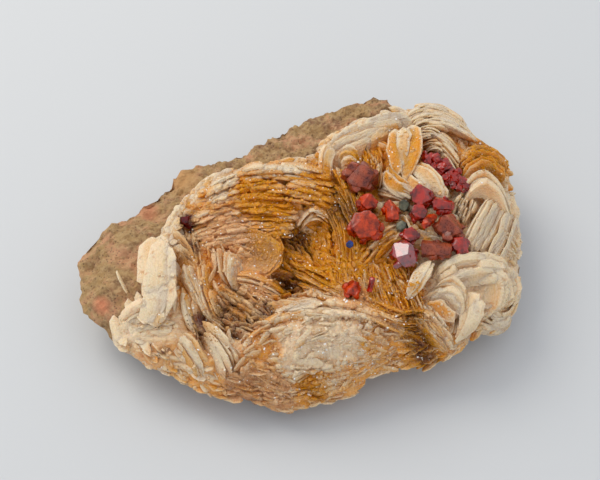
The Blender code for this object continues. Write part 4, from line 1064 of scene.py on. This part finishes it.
# Mirror-smooth faces, so that one of them throws the window's light back white.
mirror = vanadinite_material("mirror_smooth_vanadinite", "#5E0402", "#A01002", 0.04, 0.0, 0.5)
# The crystal down in its hole, clean, and darkened to nearly black red as painted shade.
shaded = vanadinite_material("shaded_deep_red_vanadinite", "#340000", "#640300", 0.1, 0.0, 0.1)
# Etched faces, whose fine pits scatter the light, so they look dull and mauve-brown.
mauve = vanadinite_material("etched_mauve_vanadinite", "#561004", "#9E421E", 0.22, 0.3, 0.15)
# A thin grey-green coat over a whole crystal, dull and dark.
coated = vanadinite_material("grey_green_coated_crystal", "#26261A", "#6C6A50", 0.3, 0.0, 0.12)
# A small grain of a dark blue mineral, with a waxy glint.
blue = vanadinite_material("dark_blue_mineral", "#060E30", "#1C3C8A", 0.2, 0.0, 0.15)
ORANGE_ONES = "vanadinite_bright", "vanadinite_tall", "vanadinite_plate", "vanadinite_low", "vanadinite_stick"
MAUVE_ONES = "vanadinite_great", "vanadinite_log", "vanadinite_right"
FINISHES = {
    **dict.fromkeys(ORANGE_ONES, (orange, "vanadinite")),
    **dict.fromkeys(MAUVE_ONES, (mauve, "vanadinite")),
    "vanadinite_mirror": (mirror, "vanadinite"),
    "vanadinite_in_hole": (shaded, "vanadinite"),
    "coated_upper": (coated, "coated_crystal"),
    "coated_lower": (coated, "coated_crystal"),
    "blue_grain": (blue, "blue_grain"),
}
for crystal in CRYSTALS:
    crystal_piece(crystal, *FINISHES.get(crystal.name, (glossy, "vanadinite")))

# Crevice. A druse of small dark red vanadinites that lines the cleft at the back right. They grew into one
# another, so they are one piece.
CREVICE_START, CREVICE_END = (427, 157, 20.2), (462, 188, 19.4)
CREVICE_COUNT = 90
CREVICE_WIDTH, CREVICE_WIDTH_SPREAD = 1.2, 0.8
CREVICE_LENGTH = 1.6
CREVICE_LEAN = 0.4
CREVICE_STRAY = 2.2 * MM
start, end = sight(CREVICE_START), sight(CREVICE_END)
prisms = []
for index in range(CREVICE_COUNT):
    stray = Vector([noise.noise(Vector((index * 0.71, 5.3, 2.4 + 3.1 * part))) for part in range(3)])
    width = CREVICE_WIDTH + CREVICE_WIDTH_SPREAD * stray.z
    axis = stray.x, stray.y - CREVICE_LEAN, 1
    one = prism(width, CREVICE_LENGTH, axis, index * 0.7, index * 1.7)
    middle = start.lerp(end, index / (CREVICE_COUNT - 1)) + stray * CREVICE_STRAY
    bmesh.ops.translate(one, verts=one.verts, vec=middle)
    prisms.append(one)
bm = joined(bmesh.new(), prisms)
bmesh.ops.recalc_face_normals(bm, faces=bm.faces)
druse = new_piece("vanadinite_druse", bm, glossy)
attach(druse, "root")
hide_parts("vanadinite_crevice")

bpy.data.meshes.remove(BLADE)
bpy.data.meshes.remove(BLADELET)
